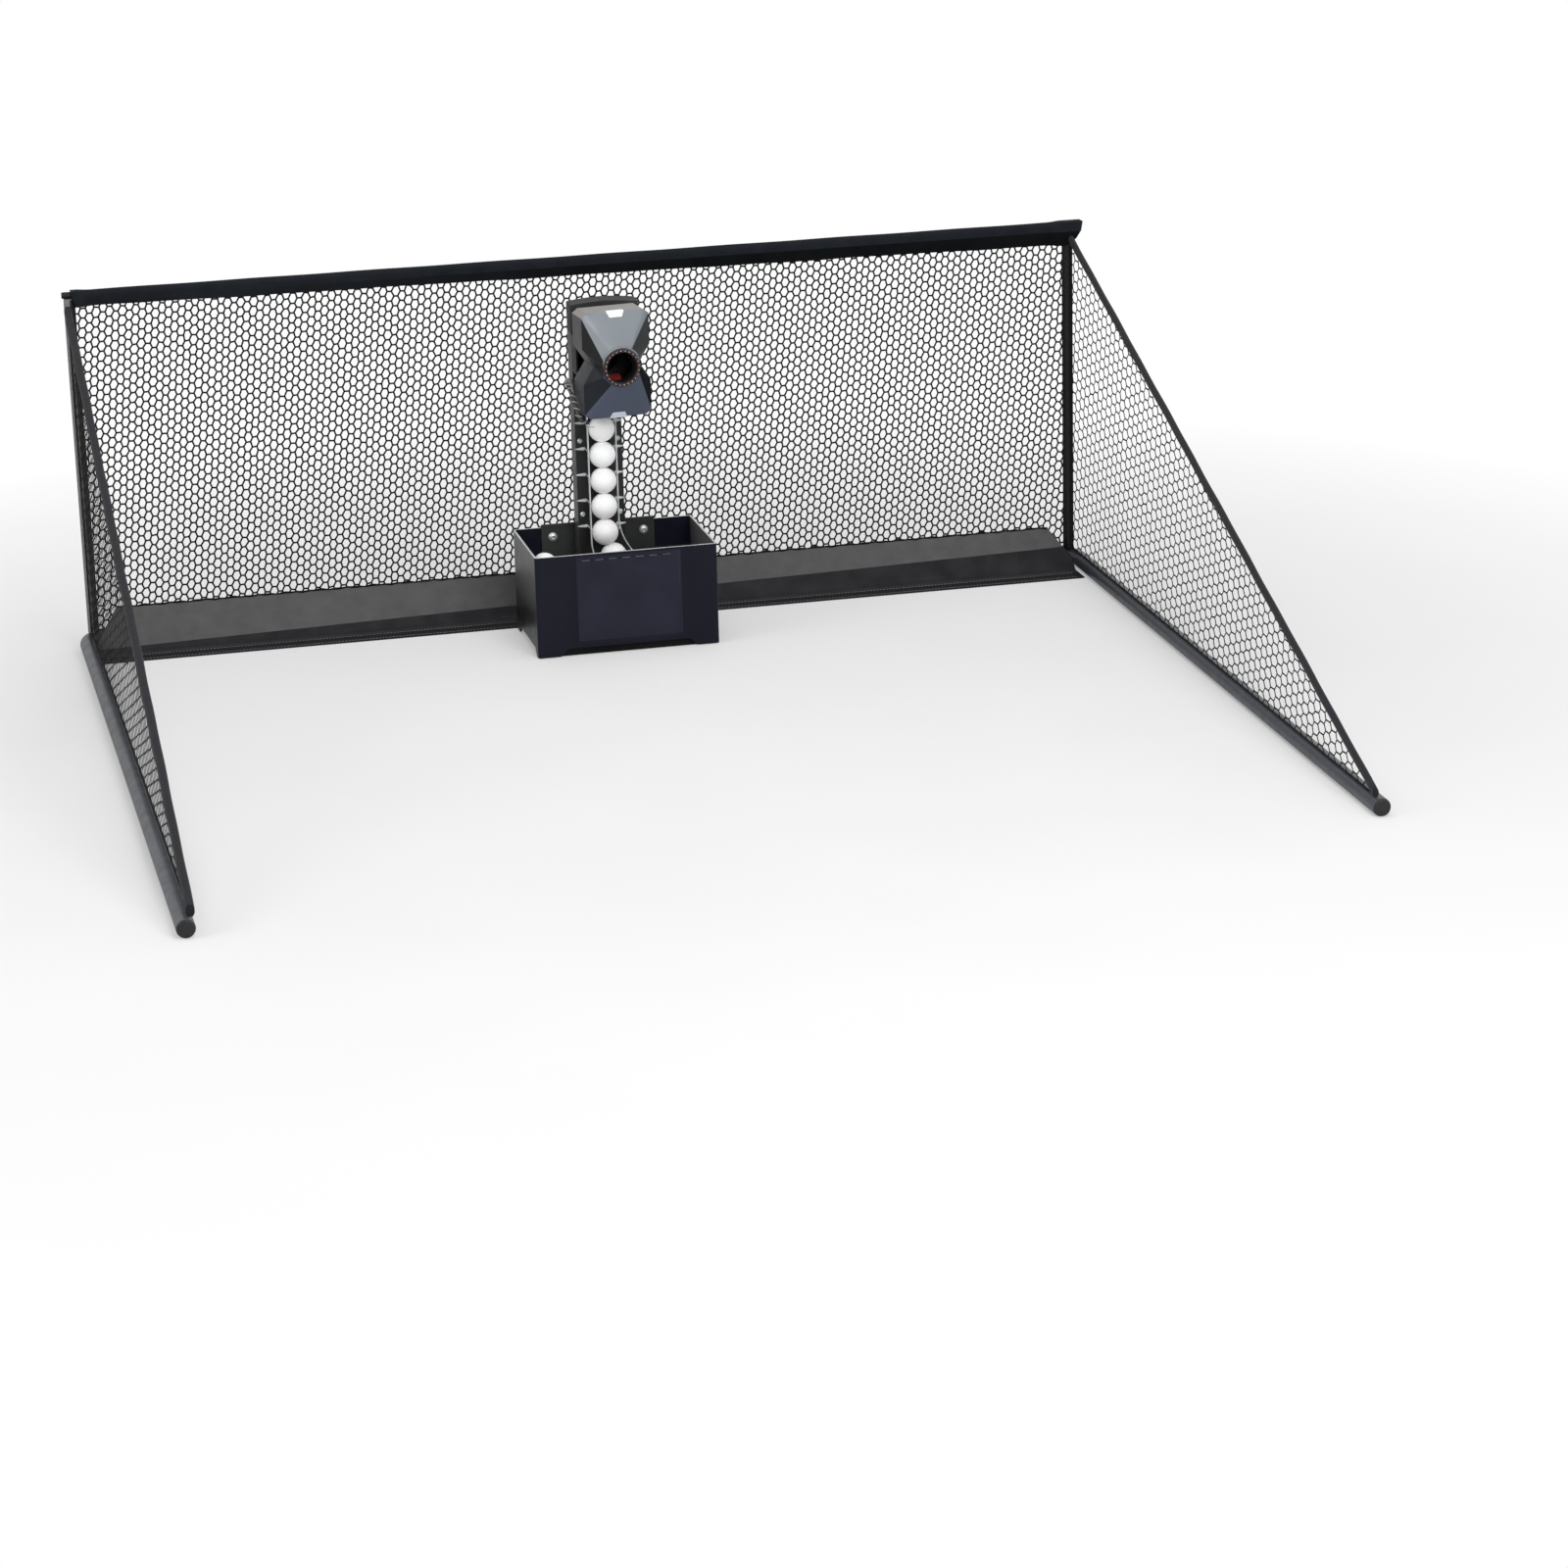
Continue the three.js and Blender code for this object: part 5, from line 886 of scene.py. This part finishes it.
def wound(path, radius, turns, start, up):
    """A helix round a path: the side and over vectors of each point, weighted with the cosine and sine of
    an angle that grows evenly."""
    side, over = frames_along(path, np.asarray(up, float))
    turn = (start + turns * np.linspace(0, 2 * math.pi, len(path)))[:, None]
    return path + radius * (np.cos(turn) * side + np.sin(turn) * over)


def build_loom():
    """A bundle of wires in a spiral wrap. It is split in two where the yaw and the pitch share it, and the
    halves ride on no body. A light strand leaves it below."""
    halves = {"rear": (LOOM_ROUTE[: LOOM_SPLIT + 1], "machine", "swivel"),
              "front": (LOOM_ROUTE[LOOM_SPLIT:], "swivel", "head")}
    up = (0.9, 0.1, 0.3)
    for part, (path, from_body, to_body) in halves.items():
        turns = 14 * len(path) / len(LOOM_ROUTE)
        fine = smooth_path(path[::3], 40 * int(turns + 1))
        core = shape_to_piece(f"loom_core_{part}", tube(path, 3.1, 12, up), WIRE_BLACK, None,
                              replaces=["cable_loom"])
        winding = tube(wound(fine, 3.6, turns, 0.4, up), 0.85, 8, up)
        wrap = shape_to_piece(f"loom_wrap_{part}", winding, WRAP_GREY, None)
        for piece in (core, wrap):
            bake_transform(piece)
    strand = smooth_path([[-46, -236, 346.5], [-42, -229, 342], [-35, -214, 334.5], [-27, -203.5, 330.5]], 24)
    shape_to_piece("loom_strand", tube(strand, 0.9, 8, (0, 1, 0)), STRAND_LIGHT, "head")


build_loom()


# net frame


def bar_line(side):
    """The centre line of a side bar: straight back, a quarter circle, and a short stub along the rear."""
    angle = np.linspace(0, math.pi / 2, 16)
    bend = BAR_X - CORNER_RADIUS
    corner = np.stack([bend + CORNER_RADIUS * np.cos(angle),
                       RAIL_Y - CORNER_RADIUS + CORNER_RADIUS * np.sin(angle)], -1)
    line = np.concatenate([[[BAR_X, y] for y in (BAR_FRONT + 3, BAR_FRONT + 4, -900, -400)], corner,
                           [[729, RAIL_Y], [728, RAIL_Y]]])
    return np.column_stack([side * line[:, 0], line[:, 1], np.full(len(line), BAR_RADIUS)])


def bar_tube(name, line, radius, sides, material, node):
    """A round bar along a line, narrowed at its first and its last point. It stands for a node."""
    radii = np.full(len(line), float(radius))
    radii[[0, -1]] -= 0.8
    return shape_to_piece(name, tube(line, radii, sides), material, replaces=[node])


def build_bars():
    """The bars with small chamfers at their ends, a plug in the front of each side bar, and the posts. The
    outer front quarter of the left post shows the grey pocket of the net. Returns the top bar."""
    for side, name in ((-1, "left"), (1, "right")):
        bar_tube(f"side_tube_{name}", bar_line(side), BAR_RADIUS, 28, BAR_PAINT, f"side_bar_{name}")
        plug = turned([[10.6, 3.6], [11.3, 3.0], [11.3, 1.0], [10.4, 0.2], [0.3, 0.0]], 28, "y")
        shape_to_piece(f"bar_plug_{name}", moved(plug, (side * BAR_X, BAR_FRONT, BAR_RADIUS)), MOULDED)
        post = [[side * POST_X, 0, z] for z in (25.3, 25.9, 200, 400, 538.9, 539.6)]
        tall = shape_to_piece(f"post_tube_{name}", tube(post, [7.9, 8.5, 8.5, 8.5, 8.5, 7.8], 28, (0, 1, 0)),
                              POST_BLACK, replaces=[f"post_{name}"])
        if side < 0:
            tall.data.materials.append(POCKET_GREY)
            for face in tall.data.polygons:
                face.material_index = int(face.normal.x < 0.1 and face.normal.y < 0.1)
    rail = [[x, RAIL_Y, BAR_RADIUS] for x in (-727.6, -726.8, -300, 300, 726.8, 727.6)]
    bar_tube("rear_tube", rail, BAR_RADIUS, 28, BAR_PAINT, "rear_rail")
    top = [[x, 0, TOP_BAR_Z] for x in (-785, -784.2, -300, 300, 784.2, 785)]
    return bar_tube("top_tube", top, 5, 20, POST_BLACK, "top_bar")


top_tube = build_bars()


# nets


def edges_of(outline):
    """The corners of a counter-clockwise outline, with the unit normal of each side that points inward."""
    return list(zip(outline, left_of(unit(np.roll(outline, -1, 0) - outline))))


def hex_cells(outline, column, row, lean):
    """Middles of staggered cells that lie inside an outline or just outside it: every other column is half
    a row higher. They are counted before the lean, which shifts each by its height times the lean."""
    upright = outline - np.outer(outline[:, 1], [lean, 0])
    low, high = upright.min(0) - [column, row], upright.max(0) + [column, row]
    i, j = np.meshgrid(np.arange((high[0] - low[0]) // column + 1), np.arange((high[1] - low[1]) // row + 1),
                       indexing="ij")
    middles = np.stack([low[0] + (i + 0.3) * column, low[1] + (j + 0.5 * (i % 2)) * row], -1).reshape(-1, 2)
    placed = middles + np.outer(middles[:, 1], [lean, 0])
    near = [(placed - corner) @ normal > -0.45 * column for corner, normal in edges_of(outline)]
    return middles[np.all(near, axis=0)]


def net_shape(outline, column, row, strand, thickness, lean, seed):
    """A knitted net as one closed mesh. Each cell is a stretched and leaning hexagon whose corners wander a
    little, and the level strands take a third of the column to both sides.
    The mid line of every strand is a ridge on both faces, and the rim of every hole lies between them, so
    a strand has four sides. What lies outside the outline is drawn back to it: p - min(p.n, 0) n for each
    side. Returns points as (u, v, w)."""
    middles = hex_cells(outline, column, row, lean)
    corners = np.array([[2, 0], [1, 1.5], [-1, 1.5], [-2, 0], [-1, -1.5], [1, -1.5]]) * [column / 3, row / 3]
    cells = middles[:, None] + corners
    keys = np.round((cells - middles[0]) / [column / 3, row / 2]).astype(int).reshape(-1, 2)
    _, first, shared = np.unique(keys, axis=0, return_index=True, return_inverse=True)
    shared = shared.reshape(-1, 6)
    random = np.random.default_rng(seed)
    ridge = cells.reshape(-1, 2)[first] + random.normal(0, 0.04, (len(first), 2)) * [column, row * 0.7]
    ridge = ridge + np.outer(ridge[:, 1], [lean, 0])
    holes = inset(ridge[shared], strand / 2).reshape(-1, 2)
    for corner, inward in edges_of(outline):
        ridge = ridge - np.outer(np.minimum((ridge - corner) @ inward, 0), inward)
        holes = holes - np.outer(np.minimum((holes - corner) @ inward, 0), inward)
    ridge, holes = (np.clip(some, outline.min(0), outline.max(0)) for some in (ridge, holes))
    count = len(ridge)
    half = thickness / 2
    points = np.concatenate([np.column_stack([ridge, np.full(count, half)]),
                             np.column_stack([ridge, np.full(count, -half)]),
                             np.column_stack([holes, np.zeros(len(holes))])])
    rim = 2 * count + np.arange(len(holes)).reshape(-1, 6)
    rim_next, shared_next = np.roll(rim, -1, 1), np.roll(shared, -1, 1)
    upper = np.stack([shared, shared_next, rim_next, rim], -1).reshape(-1, 4)
    lower = np.stack([shared_next, shared, rim, rim_next], -1).reshape(-1, 4)
    lower[:, :2] += count
    edges = np.stack([shared, shared_next], -1).reshape(-1, 2)
    _, place, times = np.unique(np.sort(edges, 1), axis=0, return_index=True, return_counts=True)
    start, end = edges[place[times == 1]].T
    border = np.stack([end, start, start + count, end + count], -1)
    return points, np.concatenate([upper, lower, border]).tolist()


def net_piece(name, outline, to_drawing, node, seed, cell, strand, thickness, lean):
    """A net in its place, as points of the drawing, standing for its rigid node. A cell has its column and
    its row."""
    points, faces = net_shape(np.asarray(outline, float), *cell, strand, thickness, lean, seed)
    shape_to_piece(name, (to_drawing(points), faces), NET_CORD, replaces=[node], sharp=80)


def back_place(points):
    """The back net hangs in the plane of the posts and swings out by a slow wave."""
    u, v, w = points.T
    swing = 1.6 * np.sin(u / 170 + 0.6) * np.sin(math.pi * (v - 30) / 490)
    return np.stack([u, swing + w, v], -1)


def side_place(side):
    """A side net hangs between the post, the bar and its slanted tape."""
    def place(points):
        u, v, w = points.T
        swing = 1.4 * np.sin(u / 140) * np.sin(math.pi * np.clip((v - 26) / 300, 0, 1))
        return np.stack([side * NET_X + swing + w, u, v], -1)
    return place


net_piece("net_back", [[-766.4, 28], [766.4, 28], [766.4, 522], [-766.4, 532]], back_place, "back_net", 3,
          (9.8, 14.8), 2.7, 1.3, 0.1)
foot = tube([[x, 0, 28] for x in (-765.8, -765, 0, 765, 765.8)], 1.4, 8)
shape_to_piece("edge_cord_back", foot, NET_CORD)


def build_side(side, name, width, half, thickness, seed):
    """A side net, the slanted tape on its upper edge and the cords on its two other edges. The tape is a
    flattened tube, as wide as given and twice the half thick, and wavers a little."""
    triangle = [[HEM_FRONT + 4, HEM_FOOT + 2], [HEM_REAR - 1, HEM_FOOT + 2],
                [HEM_REAR - 1, HEM_TOP - width * 0.55]]
    net_piece(f"net_side_{name}", triangle, side_place(side), f"side_net_{name}", seed,
              (22.0, 17.0), 2.6, thickness, -0.17)
    share = np.linspace(0, 1, 150)
    low_edge = HEM_FOOT + (HEM_TOP - width - HEM_FOOT) * share
    along = HEM_FRONT + (HEM_REAR - HEM_FRONT) * share
    turn = np.arange(10) * math.pi / 5 + math.pi / 10
    waver = 0.25 * np.sin(share * 70) + 0.2 * np.sin(share * 31 + 1)
    across = side * NET_X + half * np.cos(turn)[None] + waver[:, None]
    rise = low_edge[:, None] + width * (0.5 + 0.5 * np.clip(1.18 * np.sin(turn), -1, 1))[None]
    tape = grid_shape(np.stack([across, np.repeat(along[:, None], 10, 1), rise], -1))
    shape_to_piece(f"tape_{name}", tape, TAPE_CLOTH, replaces=[f"hem_{name}"], sharp=70)
    level = tube([[side * NET_X, y, 27.2] for y in np.linspace(-1330, -11, 60)], 1.5, 8)
    upright = tube([[side * NET_X, -10.4, z] for z in np.linspace(27, 512, 30)], 1.3, 8, (0, 1, 0))
    shape_to_piece(f"edge_cord_{name}", join(level, upright), NET_CORD)


build_side(-1, "left", 16.0, 6.0, 1.1, 5)
build_side(1, "right", 12.0, 4.6, 1.5, 7)


# sleeve and tray


def ease(value, start, end):
    """Zero before start, one after end, and a smooth step between."""
    t = np.clip((value - start) / (end - start), 0, 1)
    return t * t * (3 - 2 * t)


def thicken(sheet, thickness, offset):
    """Gives a sheet its thickness in millimetres, inward at an offset of -1 and to both sides at 0."""
    solid = sheet.modifiers.new("thickness", "SOLIDIFY")
    solid.thickness = thickness * MM
    solid.offset = offset


def build_sleeve():
    """The sleeve of the back net: up its front, over the bar in a half circle, and down its back to one
    seam. Its skirt wraps the posts at both ends, its ends lean, and it is lightly crinkled."""
    x = np.concatenate([np.linspace(-1, -0.95, 10)[:-1], np.linspace(-0.95, 0.95, 220),
                        np.linspace(0.95, 1, 10)[1:]])[:, None]
    top = TOP_BAR_Z + SLEEVE_RADIUS
    bottom = 521.2 - 6.2 * x
    around = np.linspace(0, math.pi, 13)
    loop_y = np.concatenate([[-0.16, -0.5, -0.86], -np.cos(around), [0.86, 0.5, 0.16]])
    loop_z = np.concatenate([[0.0, 0.35, 0.75], np.ones(13), [0.75, 0.35, 0.0]])
    arch = np.concatenate([[0, 0, 0], np.sin(around), [0, 0, 0]])
    u = 12.5 + 784.5 * x
    wide = ease(np.abs(u), 742, 764)
    flat = np.abs(loop_y) * (1 - wide) + wide
    y = np.sign(loop_y) * flat * (SLEEVE_RADIUS + 2.6 * wide)
    z = bottom + (TOP_BAR_Z - bottom) * loop_z + SLEEVE_RADIUS * arch
    skirt = 1 - loop_z
    y = y + skirt * (0.8 * np.sin(u / 37 + 1) + 0.5 * np.sin(u / 13.0)) * (1 - wide)
    z = z + skirt * (0.4 * np.sin(u / 61) + 0.3 * np.sin(u / 23 + 2))
    z = z + 0.25 * arch * np.sin(u / 29)
    fall = (top - z) / (top - bottom)
    right_lean = 6 * fall + 20 * np.clip(2 * fall - 1, 0, 1) ** 1.4
    lean = np.where(x > 0, right_lean, -6 * fall) * ease(np.abs(x), 0.93, 1.0)
    grid = np.stack([u - lean, y, z], -1)
    sleeve = shape_to_piece("net_sleeve", grid_shape(grid, ends=False), SLEEVE_CLOTH,
                            replaces=["bar_sleeve"], sharp=70)
    thicken(sleeve, 1.0, -1)


def build_tray():
    """The tray: a flat lip with stitches along both edges, and a cloth band that bends up to the net. The
    band is flat on the floor, then rises in a straight slope with a shallow sag."""
    lip = plate(rectangle(-TRAY_HALF, LIP_FRONT, TRAY_HALF, LIP_REAR), 0, 2.5, "z", 0.7)
    shape_to_piece("tray_front_lip", lip, LIP_CLOTH, replaces=["tray_lip"])
    knot = turned([[0.12, -1.7], [0.34, -1.2], [0.42, 0], [0.34, 1.2], [0.12, 1.7]], 6, "x")
    places = [[x, y, 2.55] for y in (-93.2, -69.8) for x in np.arange(-761, 762, 5.2)]
    shape_to_piece("lip_stitches", repeated(knot, places), STITCH)

    section = smooth_path([[0, -66.2, 1.1], [0, -56, 1.1], [0, -47, 1.6], [0, -40, 8.0], [0, -30, 20.6],
                           [0, -15, 41.6], [0, -2.6, 61.4]], 20)[:, 1:]
    share = np.linspace(0, 1, 20)[None]
    end = TRAY_HALF - 33 * np.clip((share - 0.45) / 0.55, 0, 1)
    u = np.linspace(-1, 1, 180)[:, None] * end
    lift = ease(share, 0.3, 0.6)
    waves = 0.9 * np.sin(u / 97) + 0.5 * np.sin(u / 41 + 1) + 0.25 * np.sin(u / 17)
    sag = lift * np.sin(math.pi * share) * waves
    grid = np.stack([u, section[None, :, 0] + 0.8 * sag, section[None, :, 1] - 0.6 * np.abs(sag)], -1)
    band = shape_to_piece("tray_band", grid_shape(grid, False, False), TRAY_CLOTH, replaces=["tray"])
    thicken(band, 1.4, 0)
    run = np.linspace(-738, 738, 600)
    rise = 62.0 + 0.5 * np.sin(run / 7) + 0.4 * np.sin(run / 3.1)
    seam = np.stack([run, -3.3 + 0.15 * np.sin(run / 9), rise], -1)
    binding = tube(seam, 1.5 + 0.3 * np.sin(run / 4.3), 8)
    shape_to_piece("tray_top_binding", binding, NET_CORD)


build_sleeve()
build_tray()
